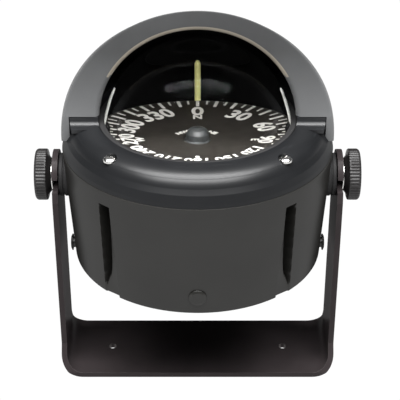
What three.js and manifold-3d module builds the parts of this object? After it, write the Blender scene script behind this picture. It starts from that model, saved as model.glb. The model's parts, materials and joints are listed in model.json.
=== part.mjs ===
// Bracket-mounted marine compass: a tapered case with a liquid-filled dome, clamped by two knobs
// in a U-shaped bracket. Millimetres, +Z up, +X to the right, the reader looks along +Y.
// The origin is the centre of the bracket's underside. Everything but the bracket tilts about
// the knob axis, a line along X at PIVOT_Z.
import * as THREE from "three";
import { ConvexGeometry } from "three/addons/geometries/ConvexGeometry.js";
import { mergeVertices } from "three/addons/utils/BufferGeometryUtils.js";
import Module from "manifold-3d";

const wasm = await Module();
wasm.setup();

// ---- driving dimensions ----------------------------------------------------------------------
const ROUND = 32; // sides of a large turned piece
const RING = 30; // sides of a ring inside the case
const DOME_SIDES = 28;
const DISC = 20; // sides of a washer or a disc
const STUD_SIDES = 18;
const HEAD = 14; // sides of a screw head or a small turned head
const SMALL = 10; // sides of a small round piece
const PIN = 8; // sides of a pin or a screw shank
const GAP = 0.3; // between neighbours that touch on the real object
const FIT = 0.1; // radial clearance of a running fit

const PIVOT_Z = 117; // knob axis above the bracket's underside

const BRACKET_WIDTH = 153;
const BRACKET_DEPTH = 50;
const BRACKET_PLATE = 3;
const BRACKET_BEND = 12; // outer radius of the two bends
const ARM_WIDTH = 32; // front to back, narrower than the base
const ARM_SHOULDER_Z = 17; // the base has narrowed to the arm at this height
const ARM_TOP_RADIUS = 13.5; // rounded arm end, about the knob axis
const ARM_TAPER_BELOW = 9; // the arm narrows from this far below the knob axis
const ARM_SLOT_HEIGHT = 6.6; // slot that the stud slides into from the front
const BASE_HOLE_X = 49.2;
const BASE_HOLE_RADIUS = 2.25;

const STUD_RADIUS = 3;
const STUD_INNER_X = 60;
const STUD_OUTER_X = 84.2;
const SPOTFACE_X = 68; // flat on the case where the friction washer bears
const SPOTFACE_RADIUS = 12.2;
const FRICTION_WASHER_RADIUS = 11.5;
const CLAMP_WASHER_RADIUS = 8;
const CLAMP_WASHER_THICKNESS = 1;
const KNOB_RADIUS = 13.7;
const KNURL_DEPTH = 0.45;
const KNURL_TEETH = 30;
const KNOB_INNER_X = 79.1;
const KNOB_OUTER_X = 85.8;
const KNOB_HUB_RADIUS = 11;
const INSERT_RADIUS = 4.8; // threaded brass insert in the knob

const CASE_BOTTOM_Z = 73.2;
const CASE_TOP_Z = 136.8;
const CASE_BOTTOM_RADIUS = 66.6;
const CASE_TOP_RADIUS = 70.9;
const CASE_WALL = 3;
const FLUTE_TOP_Z = 126;
const WEB_Z = 130; // ring inside the case that carries the collar
const WEB_THICKNESS = 4;
const COLLAR_INNER_RADIUS = 53.5;
const COLLAR_OUTER_RADIUS = 58;
const COLLAR_TOP_Z = 142.6;
const COVER_RADIUS = 62.9;
const COVER_BOTTOM_Z = 73.7;
const COVER_THICKNESS = 2.6;
const COVER_SCREW_CIRCLE = 59.3;
const GLAND_Y = 40;

const BEZEL_BOTTOM_Z = 137.1;
const BEZEL_TOP_Z = 152.8;
const BEZEL_OPENING = 52;
const BEZEL_SKIRT_RADIUS = 70.6;
const BEZEL_REBATE_RADIUS = 66.3; // the hood's skirt wraps round this
const BEZEL_REBATE_Z = 142.3;
const BEZEL_SEAT_Z = 156.3; // raised rear part that the hood stands on
const BEZEL_SEAT_FILLET = 3.4; // hollow at the foot of the seat's front
const BEZEL_CAVITY_INNER = 60;
const BEZEL_CAVITY_OUTER = 64;
const BEZEL_SCREW_CIRCLE = 62.6;
const BEZEL_SCREW_AZIMUTHS = [43.3, 136.7, 223.3, 316.7]; // degrees from the front

const SPHERE_Z = 143.4; // centre of the dome and of both gimbal axes
const DOME_RADIUS = 49;
const CHAMBER_RADIUS = 47; // inside of the dome and of the bowl
const BOWL_RADIUS = 49.5;
const FLANGE_RADIUS = 57;
const DOME_FLANGE_Z = 146.3;
const FLANGE_THICKNESS = 2;
const BOWL_FLANGE_Z = 142.9;
const BOWL_NECK_Z = 99;
const BOWL_NECK_RADIUS = 24;
const BOWL_NECK_BORE = 16;
const FILL_PLUG_Z = 120;

const GIMBAL_INNER = 40.6;
const GIMBAL_OUTER = 43.4;
const GIMBAL_HALF_HEIGHT = 1.5;
const GIMBAL_PIN_RADIUS = 1;
const CRADLE_RING_INNER = 34.9;
const CRADLE_RING_OUTER = 38;
const CRADLE_RING_Z = 130;
const CRADLE_RING_HEIGHT = 2.2;
const CRADLE_BAR_WIDTH = 6;
const LUBBER_CIRCLE = 36.5;
const LUBBER_RADIUS = 0.85;
const LUBBER_FRONT_TIP_Z = 146.5;
const LUBBER_SIDE_TIP_Z = 152.5;
const LUBBER_SIDE_AZIMUTH = 72.5; // degrees from the forward post, on each side
const CARD_RADIUS = 34.2;
const CARD_THICKNESS = 0.8;
const CARD_Z = 139.4;
const CARD_DIP = 6; // degrees, the north side hangs low
const CARD_BORE = 4.6;

const SHAFT_RADIUS = 2;
const SHAFT_HALF_LENGTH = 60.5;
const FORE_AFT_SHAFT_Z = 84;
const ATHWART_SHAFT_Z = 79.4;
const ATHWART_SHAFT_Y = -8;
const PLUG_RADIUS = 4.5;

const HOOD_FRONT_Y = -11.1;
const HOOD_RADIUS = 71;
const HOOD_WALL = 4.3; // at the skirt
const HOOD_CROWN_WALL = 3;
const HOOD_PLATE = 3; // thickness of the flat front arch
const HOOD_BASE_Z = 142.7;
const HOOD_HEIGHT = 71.1;
const HOOD_TAIL_HEIGHT = 17; // height of the rear of the crown above the base
const HOOD_FALL = 0.6; // exponent of the crown's fall towards the back
const HOOD_ARCH_RADIUS = 50.4;
const HOOD_ARCH_Z = 152.8;
const HOOD_SEAM_Z = 156.6;
const HOOD_ARC = 24; // sides of half a turn of the arch

// ---- materials -------------------------------------------------------------------------------
function finish(color, roughness, metalness = 0, extra = {}) {
  return new THREE.MeshStandardMaterial({ color, roughness, metalness, ...extra });
}
const blackPlastic = finish(0x232427, 0.42);
const bracketPaint = finish(0x2e2a2c, 0.5);
const knobPlastic = finish(0x2b292b, 0.55);
const stainless = finish(0xc9c8c4, 0.28, 1);
const brass = finish(0xb08d4a, 0.35, 1);
const rubber = finish(0x111112, 0.85);
const clearAcrylic = finish(0xeef4f6, 0.05, 0, { transparent: true, opacity: 0.25 });
const cardPaint = finish(0x1b1714, 0.6);
const gimbalPlastic = finish(0x131313, 0.5);
const lubberGreen = finish(0xd3d67a, 0.5);
const lubberWhite = finish(0xe9e9e4, 0.5);
const magnetSteel = finish(0x6e6f72, 0.35, 1);
const lampGreen = finish(0x2c9a55, 0.3);
const jewelBlue = finish(0x7a9ad0, 0.1);

// ---- shape helpers ---------------------------------------------------------------------------
function solid(geometry) {
  const bare = geometry.index ? geometry.toNonIndexed() : geometry.clone();
  bare.deleteAttribute("normal");
  bare.deleteAttribute("uv");
  const merged = mergeVertices(bare, 1e-4);
  const vertProperties = new Float32Array(merged.attributes.position.array);
  const triVerts = new Uint32Array(merged.index.array);
  return new wasm.Manifold(new wasm.Mesh({ numProp: 3, vertProperties, triVerts }));
}

// A turned solid about Z from [radius, z] points, which may run either way round.
function turned(points, sides = ROUND) {
  const outline = points.map(([r, z]) => new THREE.Vector2(r, z));
  const turn = (line) => solid(new THREE.LatheGeometry(line, sides).rotateX(Math.PI / 2));
  const body = turn(outline);
  return body.volume() > 0 ? body : turn(outline.reverse());
}

function ring(inner, outer, low, high, sides = ROUND) {
  return turned([[inner, low], [outer, low], [outer, high], [inner, high], [inner, low]], sides);
}

// A disc or rod about Z; the other two turn it to lie along X or Y.
function rod(radius, low, high, sides = SMALL, topRadius = radius) {
  return turned([[0, low], [radius, low], [topRadius, high], [0, high]], sides);
}

function alongX(body) {
  return body.rotate([0, 90, 0]);
}

function alongY(body) {
  return body.rotate([-90, 0, 0]);
}

function box(x0, x1, y0, y1, z0, z1) {
  const block = new THREE.BoxGeometry(x1 - x0, y1 - y0, z1 - z0);
  block.translate((x0 + x1) / 2, (y0 + y1) / 2, (z0 + z1) / 2);
  return solid(block);
}

// The convex solid round a list of [azimuth in degrees from the front, radius, z] points.
function wedge(points) {
  const corners = points.map(([azimuth, radius, z]) => {
    const angle = THREE.MathUtils.degToRad(azimuth);
    return new THREE.Vector3(radius * Math.sin(angle), -radius * Math.cos(angle), z);
  });
  return solid(new ConvexGeometry(corners));
}

// [radius, z] points of an arc about the dome's centre, by elevation in degrees.
function sphereArc(radius, from, to, steps) {
  return Array.from({ length: steps + 1 }, (_, i) => {
    const angle = THREE.MathUtils.degToRad(from + ((to - from) * i) / steps);
    const across = Math.abs(Math.cos(angle)) < 1e-9 ? 0 : radius * Math.cos(angle);
    return [across, SPHERE_Z + radius * Math.sin(angle)];
  });
}

function elevationAt(radius, z) {
  return THREE.MathUtils.radToDeg(Math.asin((z - SPHERE_Z) / radius));
}

function place(body, azimuth, radius) {
  const angle = THREE.MathUtils.degToRad(azimuth);
  return body.translate([radius * Math.sin(angle), -radius * Math.cos(angle), 0]);
}

function mirrorX(body) {
  return body.mirror([1, 0, 0]);
}

function mirrorY(body) {
  return body.mirror([0, 1, 0]);
}

const compass = new THREE.Group();

function add(name, body, material) {
  const faces = body.getMesh();
  const geometry = new THREE.BufferGeometry();
  geometry.setAttribute("position", new THREE.BufferAttribute(faces.vertProperties, 3));
  geometry.setIndex(new THREE.BufferAttribute(faces.triVerts, 1));
  geometry.computeVertexNormals();
  const piece = new THREE.Mesh(geometry, material);
  piece.name = name;
  compass.add(piece);
}

// A piece made for the right-hand side (+X), added on both sides.
function addPair(name, body, material) {
  add(name + "_right", body, material);
  add(name + "_left", mirrorX(body), material);
}

// ---- bracket ---------------------------------------------------------------------------------
function bracketStrip() {
  const half = BRACKET_WIDTH / 2;
  const inner = half - BRACKET_PLATE;
  const bendX = half - BRACKET_BEND;
  const innerBend = BRACKET_BEND - BRACKET_PLATE;
  const top = PIVOT_Z + ARM_TOP_RADIUS;
  const outline = new THREE.Shape();
  outline.moveTo(-half, top);
  outline.lineTo(-half, BRACKET_BEND);
  outline.absarc(-bendX, BRACKET_BEND, BRACKET_BEND, Math.PI, 1.5 * Math.PI, false);
  outline.lineTo(bendX, 0);
  outline.absarc(bendX, BRACKET_BEND, BRACKET_BEND, 1.5 * Math.PI, 2 * Math.PI, false);
  outline.lineTo(half, top);
  outline.lineTo(inner, top);
  outline.lineTo(inner, BRACKET_BEND);
  outline.absarc(bendX, BRACKET_BEND, innerBend, 2 * Math.PI, 1.5 * Math.PI, true);
  outline.lineTo(-bendX, BRACKET_PLATE);
  outline.absarc(-bendX, BRACKET_BEND, innerBend, 1.5 * Math.PI, Math.PI, true);
  outline.lineTo(-inner, top);
  outline.closePath();
  const strip = new THREE.ExtrudeGeometry(outline, {
    depth: BRACKET_DEPTH,
    bevelEnabled: false,
    curveSegments: 6,
  });
  strip.rotateX(Math.PI / 2);
  strip.translate(0, BRACKET_DEPTH / 2, 0);
  return solid(strip);
}

// The arm seen from the side: the base narrows to the arm, which tapers on a tangent to a round end.
function armSide() {
  const foot = BRACKET_DEPTH / 2;
  const half = ARM_WIDTH / 2;
  const reach = Math.hypot(half, ARM_TAPER_BELOW);
  const corner = Math.atan2(-ARM_TAPER_BELOW, half);
  const touch = corner + Math.acos(ARM_TOP_RADIUS / reach);
  const outline = new THREE.Shape();
  outline.moveTo(-foot, -1);
  outline.lineTo(foot, -1);
  outline.lineTo(foot, BRACKET_PLATE);
  outline.lineTo(half, ARM_SHOULDER_Z);
  outline.lineTo(half, PIVOT_Z - ARM_TAPER_BELOW);
  outline.absarc(0, PIVOT_Z, ARM_TOP_RADIUS, touch, Math.PI - touch, false);
  outline.lineTo(-half, PIVOT_Z - ARM_TAPER_BELOW);
  outline.lineTo(-half, ARM_SHOULDER_Z);
  outline.lineTo(-foot, BRACKET_PLATE);
  outline.closePath();
  const side = new THREE.ExtrudeGeometry(outline, {
    depth: BRACKET_WIDTH + 2,
    bevelEnabled: false,
    curveSegments: 10,
  });
  const toYZ = new THREE.Matrix4().makeBasis(
    new THREE.Vector3(0, 1, 0),
    new THREE.Vector3(0, 0, 1),
    new THREE.Vector3(1, 0, 0),
  );
  side.applyMatrix4(toYZ);
  side.translate(-BRACKET_WIDTH / 2 - 1, 0, 0);
  return solid(side);
}

function bracket() {
  const slotHalf = ARM_SLOT_HEIGHT / 2;
  const reach = BRACKET_WIDTH / 2 + 1;
  const slot = box(-reach, reach, -BRACKET_DEPTH, 0, PIVOT_Z - slotHalf, PIVOT_Z + slotHalf);
  const slotEnd = alongX(rod(slotHalf, -reach, reach, HEAD)).translate([0, 0, PIVOT_Z]);
  let body = bracketStrip().intersect(armSide()).subtract(slot).subtract(slotEnd);
  for (const side of [-1, 1]) {
    const hole = rod(BASE_HOLE_RADIUS, -1, BRACKET_PLATE + 1);
    body = body.subtract(hole.translate([side * BASE_HOLE_X, 0, 0]));
  }
  return body;
}

// ---- clamp: stud, washers and knob, made for +X -----------------------------------------------
function onPivot(body) {
  return alongX(body).translate([0, 0, PIVOT_Z]);
}

function knob() {
  const outline = new THREE.Shape();
  for (let tooth = 0; tooth < KNURL_TEETH; tooth += 1) {
    for (const [part, radius] of [[0, KNOB_RADIUS], [0.5, KNOB_RADIUS - KNURL_DEPTH]]) {
      const angle = ((tooth + part) * 2 * Math.PI) / KNURL_TEETH;
      const x = radius * Math.cos(angle);
      const y = radius * Math.sin(angle);
      if (tooth + part === 0) outline.moveTo(x, y);
      else outline.lineTo(x, y);
    }
  }
  outline.closePath();
  const grip = new THREE.ExtrudeGeometry(outline, {
    depth: KNOB_OUTER_X - KNOB_INNER_X,
    bevelEnabled: false,
  });
  grip.translate(0, 0, KNOB_INNER_X);
  const hubInnerX = BRACKET_WIDTH / 2 + CLAMP_WASHER_THICKNESS + 2 * FIT;
  const hub = rod(CLAMP_WASHER_RADIUS - 0.5, hubInnerX, KNOB_INNER_X + 0.5, STUD_SIDES, KNOB_HUB_RADIUS);
  const boreEnd = STUD_OUTER_X + 0.5;
  const bore = rod(INSERT_RADIUS + FIT, hubInnerX - 1, boreEnd, STUD_SIDES);
  return onPivot(solid(grip).add(hub).subtract(bore));
}

function knobInsert() {
  const start = BRACKET_WIDTH / 2 + CLAMP_WASHER_THICKNESS + 2 * FIT + GAP;
  return onPivot(ring(STUD_RADIUS + FIT, INSERT_RADIUS, start, STUD_OUTER_X, STUD_SIDES));
}

function clampWasher() {
  const start = BRACKET_WIDTH / 2 + FIT;
  const end = start + CLAMP_WASHER_THICKNESS;
  return onPivot(ring(STUD_RADIUS + GAP, CLAMP_WASHER_RADIUS, start, end, DISC));
}

function frictionWasher() {
  const end = BRACKET_WIDTH / 2 - BRACKET_PLATE - GAP;
  return onPivot(ring(STUD_RADIUS + GAP, FRICTION_WASHER_RADIUS, SPOTFACE_X + GAP, end, DISC));
}

// ---- case ------------------------------------------------------------------------------------
function caseRadius(z) {
  const share = (z - CASE_BOTTOM_Z) / (CASE_TOP_Z - CASE_BOTTOM_Z);
  return THREE.MathUtils.lerp(CASE_BOTTOM_RADIUS, CASE_TOP_RADIUS, share);
}

// One flute, to the right of the front panel: a deep slot at its top that opens into a shallow
// ramp at its foot, with a sharp wall on the side away from the panel.
function flute() {
  const below = CASE_BOTTOM_Z - 2;
  const outside = CASE_TOP_RADIUS + 6;
  return wedge([
    [38.2, outside, FLUTE_TOP_Z], [43.7, outside, FLUTE_TOP_Z],
    [38.8, 65.9, FLUTE_TOP_Z], [43.5, 65.4, FLUTE_TOP_Z],
    [37, CASE_BOTTOM_RADIUS, below], [45.4, outside, below],
    [45.2, CASE_BOTTOM_RADIUS - 1.8, below], [40, outside, below],
  ]);
}

function flutePad() {
  const low = COVER_BOTTOM_Z + 6;
  const high = FLUTE_TOP_Z + 3;
  const pad = [];
  for (const z of [low, high]) {
    for (const azimuth of [35, 47]) {
      pad.push([azimuth, 61.5, z], [azimuth, CASE_TOP_RADIUS + 2, z]);
    }
  }
  return wedge(pad);
}

function fourFold(body) {
  const pair = body.add(mirrorX(body));
  return pair.add(mirrorY(pair));
}

function shaftBearings(radius, from, to) {
  const foreAft = alongY(rod(radius, from, to, SMALL)).translate([0, 0, FORE_AFT_SHAFT_Z]);
  const athwart = alongX(rod(radius, from, to, SMALL))
    .translate([0, ATHWART_SHAFT_Y, ATHWART_SHAFT_Z]);
  return foreAft.add(mirrorY(foreAft)).add(athwart).add(mirrorX(athwart));
}

function coverScrews(body) {
  return [45, 135, 225, 315].map((azimuth) => place(body, azimuth, COVER_SCREW_CIRCLE));
}

function caseShell() {
  const bore = (z) => caseRadius(z) - CASE_WALL;
  const low = CASE_BOTTOM_Z - 1;
  const shell = turned([
    [0, CASE_BOTTOM_Z], [CASE_BOTTOM_RADIUS, CASE_BOTTOM_Z],
    [CASE_TOP_RADIUS, CASE_TOP_Z], [0, CASE_TOP_Z],
  ]);
  const room = turned([[0, low], [bore(low), low], [bore(WEB_Z), WEB_Z], [0, WEB_Z]]);
  const webTop = WEB_Z + WEB_THICKNESS;
  const rimGroove = ring(COLLAR_OUTER_RADIUS, bore(CASE_TOP_Z), webTop, CASE_TOP_Z + 1);
  const collar = ring(COLLAR_INNER_RADIUS, COLLAR_OUTER_RADIUS, webTop - 1, COLLAR_TOP_Z);
  let body = shell.subtract(room.subtract(fourFold(flutePad())));
  body = body.subtract(rod(COLLAR_INNER_RADIUS, low, CASE_TOP_Z + 1, ROUND));
  body = body.subtract(rimGroove).add(collar);
  for (const azimuth of BEZEL_SCREW_AZIMUTHS) {
    body = body.add(place(rod(4.2, FLUTE_TOP_Z, CASE_TOP_Z), azimuth, BEZEL_SCREW_CIRCLE));
  }
  const ledgeZ = COVER_BOTTOM_Z + COVER_THICKNESS + GAP;
  body = body.add(ring(57, bore(ledgeZ) + 1, ledgeZ, ledgeZ + 2.4));
  for (const boss of coverScrews(rod(3.4, ledgeZ, ledgeZ + 8))) body = body.add(boss);
  body = body.add(shaftBearings(4.5, 57, 64.5));
  const pivotBoss = onPivot(rod(9, 58, SPOTFACE_X + 1, DISC));
  body = body.add(pivotBoss).add(mirrorX(pivotBoss));
  return body.subtract(caseCuts(ledgeZ));
}

function caseCuts(ledgeZ) {
  const spotface = onPivot(rod(SPOTFACE_RADIUS, SPOTFACE_X, SPOTFACE_X + 9, DISC));
  const studHole = onPivot(rod(STUD_RADIUS + GAP, 57, SPOTFACE_X + 1, SMALL));
  const sides = spotface.add(studHole);
  const coverRoom = rod(COVER_RADIUS + GAP, CASE_BOTTOM_Z - 1, ledgeZ, ROUND);
  let cuts = fourFold(flute()).add(sides).add(mirrorX(sides)).add(coverRoom);
  for (const azimuth of BEZEL_SCREW_AZIMUTHS) {
    cuts = cuts.add(place(rod(2.2, 128, CASE_TOP_Z + 1, PIN), azimuth, BEZEL_SCREW_CIRCLE));
  }
  for (const hole of coverScrews(rod(1.7, ledgeZ - 1, ledgeZ + 6.5, PIN))) cuts = cuts.add(hole);
  return cuts.add(shaftBearings(SHAFT_RADIUS + 1.5 * FIT, 55, 64)).add(shaftBearings(3.3, 61.5, 75));
}

function bottomCover() {
  const top = COVER_BOTTOM_Z + COVER_THICKNESS;
  let body = rod(COVER_RADIUS, COVER_BOTTOM_Z, top, ROUND);
  for (const hole of coverScrews(rod(1.8, COVER_BOTTOM_Z - 1, top + 1, PIN))) {
    body = body.subtract(hole);
  }
  for (const sink of coverScrews(rod(3.2, COVER_BOTTOM_Z - 1, COVER_BOTTOM_Z + 1.5, SMALL))) {
    body = body.subtract(sink);
  }
  const glandHole = rod(4.4, COVER_BOTTOM_Z - 1, top + 1).translate([0, GLAND_Y, 0]);
  return body.subtract(glandHole);
}

function coverScrew() {
  const seat = COVER_BOTTOM_Z + 1.2;
  const head = rod(2.8, COVER_BOTTOM_Z + 0.1, seat, SMALL);
  return head.add(rod(1.5, seat - 0.5, seat + 7, PIN));
}

function cableGland() {
  const top = COVER_BOTTOM_Z + COVER_THICKNESS;
  const collar = ring(2.2, 6.5, COVER_BOTTOM_Z - 4, COVER_BOTTOM_Z - GAP, HEAD);
  const stem = ring(2.2, 4.1, COVER_BOTTOM_Z - 1, top + 3, HEAD);
  return collar.add(stem).translate([0, GLAND_Y, 0]);
}

// ---- bezel -----------------------------------------------------------------------------------
// The half ring behind HOOD_FRONT_Y, with a hollow fillet along the foot of its front face.
function hoodSeat() {
  const low = BEZEL_TOP_Z - 3;
  const foot = HOOD_FRONT_Y - BEZEL_SEAT_FILLET;
  const outline = new THREE.Shape();
  outline.moveTo(80, low);
  outline.lineTo(80, BEZEL_SEAT_Z);
  outline.lineTo(HOOD_FRONT_Y, BEZEL_SEAT_Z);
  outline.absarc(foot, BEZEL_TOP_Z + BEZEL_SEAT_FILLET, BEZEL_SEAT_FILLET, 0, -Math.PI / 2, true);
  outline.lineTo(foot, low);
  outline.closePath();
  const profile = new THREE.ExtrudeGeometry(outline, {
    depth: 2 * HOOD_RADIUS,
    bevelEnabled: false,
    curveSegments: 4,
  });
  profile.applyMatrix4(new THREE.Matrix4().makeBasis(
    new THREE.Vector3(0, 1, 0),
    new THREE.Vector3(0, 0, 1),
    new THREE.Vector3(1, 0, 0),
  ));
  profile.translate(-HOOD_RADIUS, 0, 0);
  const radius = BEZEL_REBATE_RADIUS;
  return solid(profile).intersect(ring(BEZEL_OPENING, radius, low, BEZEL_SEAT_Z));
}

function bezel() {
  const roof = BEZEL_TOP_Z - 3;
  const lip = DOME_FLANGE_Z + FLANGE_THICKNESS + GAP;
  let body = turned([
    [BEZEL_CAVITY_OUTER, BEZEL_BOTTOM_Z], [BEZEL_SKIRT_RADIUS, BEZEL_BOTTOM_Z],
    [69.9, 139.2], [68.4, 143], [67.1, 147.2], [66.3, 150], [65.6, 151.5], [64.6, 152.4],
    [63.2, BEZEL_TOP_Z], [BEZEL_OPENING + 1, BEZEL_TOP_Z], [BEZEL_OPENING, BEZEL_TOP_Z - 0.7],
    [BEZEL_OPENING, lip], [BEZEL_CAVITY_INNER, lip], [BEZEL_CAVITY_INNER, roof],
    [BEZEL_CAVITY_OUTER, roof], [BEZEL_CAVITY_OUTER, BEZEL_BOTTOM_Z],
  ]);
  const rebate = ring(BEZEL_REBATE_RADIUS, 80, BEZEL_REBATE_Z, BEZEL_TOP_Z + 1);
  const behindHood = box(-90, 90, HOOD_FRONT_Y - GAP, 90, BEZEL_REBATE_Z - 1, BEZEL_TOP_Z + 1);
  body = body.subtract(rebate.intersect(behindHood)).add(hoodSeat());
  for (const azimuth of BEZEL_SCREW_AZIMUTHS) {
    const boss = place(rod(3.9, BEZEL_BOTTOM_Z, roof + 1), azimuth, BEZEL_SCREW_CIRCLE);
    const hole = place(rod(2.3, BEZEL_BOTTOM_Z - 1, roof + 1, PIN), azimuth, BEZEL_SCREW_CIRCLE);
    const sink = place(rod(3.6, roof - 0.2, BEZEL_SEAT_Z + 1, HEAD), azimuth, BEZEL_SCREW_CIRCLE);
    body = body.add(boss).subtract(hole).subtract(sink);
  }
  return body;
}

function bezelScrew() {
  const seat = BEZEL_TOP_Z - 3;
  const dome = [[3.3, seat + 1.6], [2.6, seat + 2.2], [1.4, seat + 2.6], [0, seat + 2.7]];
  const slot = box(-4, 4, -0.45, 0.45, seat + 1.7, seat + 4);
  const head = turned([[0, seat], [3.3, seat], ...dome], HEAD).subtract(slot);
  return head.add(rod(1.9, 129, seat + 0.5, PIN));
}

// ---- dome, bowl and what seals them -----------------------------------------------------------
function dome() {
  const flangeTop = DOME_FLANGE_Z + FLANGE_THICKNESS;
  const outerFoot = elevationAt(DOME_RADIUS, flangeTop);
  const innerFoot = elevationAt(CHAMBER_RADIUS, DOME_FLANGE_Z);
  return turned([
    ...sphereArc(DOME_RADIUS, 90, outerFoot, 7),
    [FLANGE_RADIUS, flangeTop], [FLANGE_RADIUS, DOME_FLANGE_Z],
    ...sphereArc(CHAMBER_RADIUS, innerFoot, 90, 7),
  ], DOME_SIDES);
}

function bowl() {
  const flangeTop = BOWL_FLANGE_Z + FLANGE_THICKNESS;
  const outerTop = elevationAt(BOWL_RADIUS, BOWL_FLANGE_Z);
  const neckJoin = -THREE.MathUtils.radToDeg(Math.acos(BOWL_NECK_RADIUS / BOWL_RADIUS));
  const boreJoin = -THREE.MathUtils.radToDeg(Math.acos(BOWL_NECK_BORE / CHAMBER_RADIUS));
  const innerTop = elevationAt(CHAMBER_RADIUS, flangeTop);
  let body = turned([
    [FLANGE_RADIUS, flangeTop], [FLANGE_RADIUS, BOWL_FLANGE_Z],
    ...sphereArc(BOWL_RADIUS, outerTop, neckJoin, 5),
    [BOWL_NECK_RADIUS, BOWL_NECK_Z], [BOWL_NECK_BORE, BOWL_NECK_Z],
    ...sphereArc(CHAMBER_RADIUS, boreJoin, innerTop, 5),
    [FLANGE_RADIUS, flangeTop],
  ], DOME_SIDES);
  const pinHole = alongY(rod(GIMBAL_PIN_RADIUS + FIT, -49.2, 49.2, PIN));
  const fillHole = alongY(rod(3.2, 30, 60)).translate([0, 0, FILL_PLUG_Z]);
  body = body.subtract(pinHole.translate([0, 0, SPHERE_Z])).subtract(fillHole);
  return body;
}

function fillPlug() {
  const shank = rod(3, 40.5, 47, SMALL);
  const head = rod(4.6, 46.4, 48.4, SMALL);
  return alongY(shank.add(head)).translate([0, 0, FILL_PLUG_Z]);
}

function domeSeal() {
  const low = DOME_FLANGE_Z + FLANGE_THICKNESS + GAP;
  return ring(DOME_RADIUS + 0.1, BEZEL_OPENING - 0.4, low, BEZEL_TOP_Z - 0.9);
}

function bowlGasket() {
  const low = BOWL_FLANGE_Z + FLANGE_THICKNESS + GAP;
  return ring(CHAMBER_RADIUS + 1, FLANGE_RADIUS - 0.5, low, DOME_FLANGE_Z - GAP, RING);
}

// A rolled rubber disc that takes up the swelling of the liquid.
function diaphragm() {
  const top = BOWL_NECK_Z - GAP;
  return turned([
    [0, top - 1], [6, top - 1], [9, top - 2.4], [12, top - 2.4], [15, top - 1],
    [BOWL_NECK_RADIUS - 0.5, top - 1], [BOWL_NECK_RADIUS - 0.5, top],
    [14, top], [11.5, top - 1.4], [9.5, top - 1.4], [7, top], [0, top],
  ], DOME_SIDES);
}

function diaphragmRing() {
  const high = BOWL_NECK_Z - 2 * GAP - 1;
  return ring(BOWL_NECK_BORE + 1.5, BOWL_NECK_RADIUS - 0.5, high - 2, high, RING);
}

// ---- gimbals ---------------------------------------------------------------------------------
function gimbalRing() {
  const low = SPHERE_Z - GIMBAL_HALF_HEIGHT;
  const high = SPHERE_Z + GIMBAL_HALF_HEIGHT;
  const bores = alongX(rod(GIMBAL_PIN_RADIUS + FIT, -50, 50, PIN))
    .add(alongY(rod(GIMBAL_PIN_RADIUS + FIT, -50, 50, PIN)))
    .translate([0, 0, SPHERE_Z]);
  return ring(GIMBAL_INNER, GIMBAL_OUTER, low, high, RING).subtract(bores);
}

function rollPin() {
  return alongY(rod(GIMBAL_PIN_RADIUS, 41.2, 48.8, PIN)).translate([0, 0, SPHERE_Z]);
}

function pitchPin() {
  return alongX(rod(GIMBAL_PIN_RADIUS, 37.4, 43, PIN)).translate([0, 0, SPHERE_Z]);
}

function cradle() {
  const top = CRADLE_RING_Z + CRADLE_RING_HEIGHT;
  const half = CRADLE_BAR_WIDTH / 2;
  const lugTop = SPHERE_Z + 2.5;
  let body = ring(CRADLE_RING_INNER, CRADLE_RING_OUTER, CRADLE_RING_Z, top, RING);
  body = body.add(box(-36, 36, -half, half, CRADLE_RING_Z, top));
  for (const side of [-1, 1]) {
    const [x0, x1] = [side * 36.6, side * 39.2].sort((a, b) => a - b);
    body = body.add(box(x0, x1, -2.4, 2.4, CRADLE_RING_Z, lugTop));
  }
  body = body.add(rod(5.5, CRADLE_RING_Z - 2.5, top, HEAD));
  const pinHole = alongX(rod(GIMBAL_PIN_RADIUS + FIT, -45, 45, PIN)).translate([0, 0, SPHERE_Z]);
  body = body.subtract(pinHole).subtract(rod(1.7, CRADLE_RING_Z - 4, top + 1, PIN));
  for (const [azimuth] of lubberPosts()) {
    body = body.subtract(place(rod(LUBBER_RADIUS + FIT, 120, top + 1, PIN), azimuth, LUBBER_CIRCLE));
  }
  return body;
}

// [azimuth from the front, tip height, name, material] of each post; the reader looks forward
// over the card at the one on the far side.
function lubberPosts() {
  return [
    [180, LUBBER_FRONT_TIP_Z, "lubber_post_forward", lubberGreen],
    [180 - LUBBER_SIDE_AZIMUTH, LUBBER_SIDE_TIP_Z, "lubber_post_right", lubberWhite],
    [180 + LUBBER_SIDE_AZIMUTH, LUBBER_SIDE_TIP_Z, "lubber_post_left", lubberWhite],
  ];
}

function counterweight() {
  return ring(2, 12, 119, CRADLE_RING_Z - 2.5 - GAP, DISC);
}

function pivotPost() {
  const needleFoot = CARD_Z - 2.5;
  const tip = CARD_Z + 0.6;
  return turned([
    [0, 119.5], [1.5, 119.5], [1.5, needleFoot - 2], [0.8, needleFoot], [0.15, tip], [0, tip],
  ], PIN);
}

// ---- card, in its own frame: centre of the top face at the origin, north along +Y ----------------
function dialCard() {
  return ring(CARD_BORE, CARD_RADIUS, -CARD_THICKNESS, 0, ROUND);
}

function cardHub() {
  const cap = [[6.2, 0.4], [6.2, 1], [4.6, 1.4], [4.3, 3], [3.2, 4.3], [1.6, 4.9], [0, 5]];
  const body = turned([[0, -4], [4.2, -4], [4.2, 0.4], ...cap], DISC);
  return body.subtract(rod(2.4, -5, 2.4, SMALL));
}

function cardFloat() {
  return ring(CARD_BORE, 13, -4.6, -CARD_THICKNESS - GAP, DISC);
}

function cardMagnet() {
  return box(14, 17, -13, 13, -4, -CARD_THICKNESS - GAP);
}

function jewelCup() {
  return rod(2.1, 1.2, 2.1, SMALL);
}

function tipped(body) {
  return body.rotate([-CARD_DIP, 0, 0]).translate([0, 0, CARD_Z]);
}

// ---- compensators ----------------------------------------------------------------------------
function foreAft(body) {
  return alongY(body).translate([0, 0, FORE_AFT_SHAFT_Z]);
}

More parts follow.
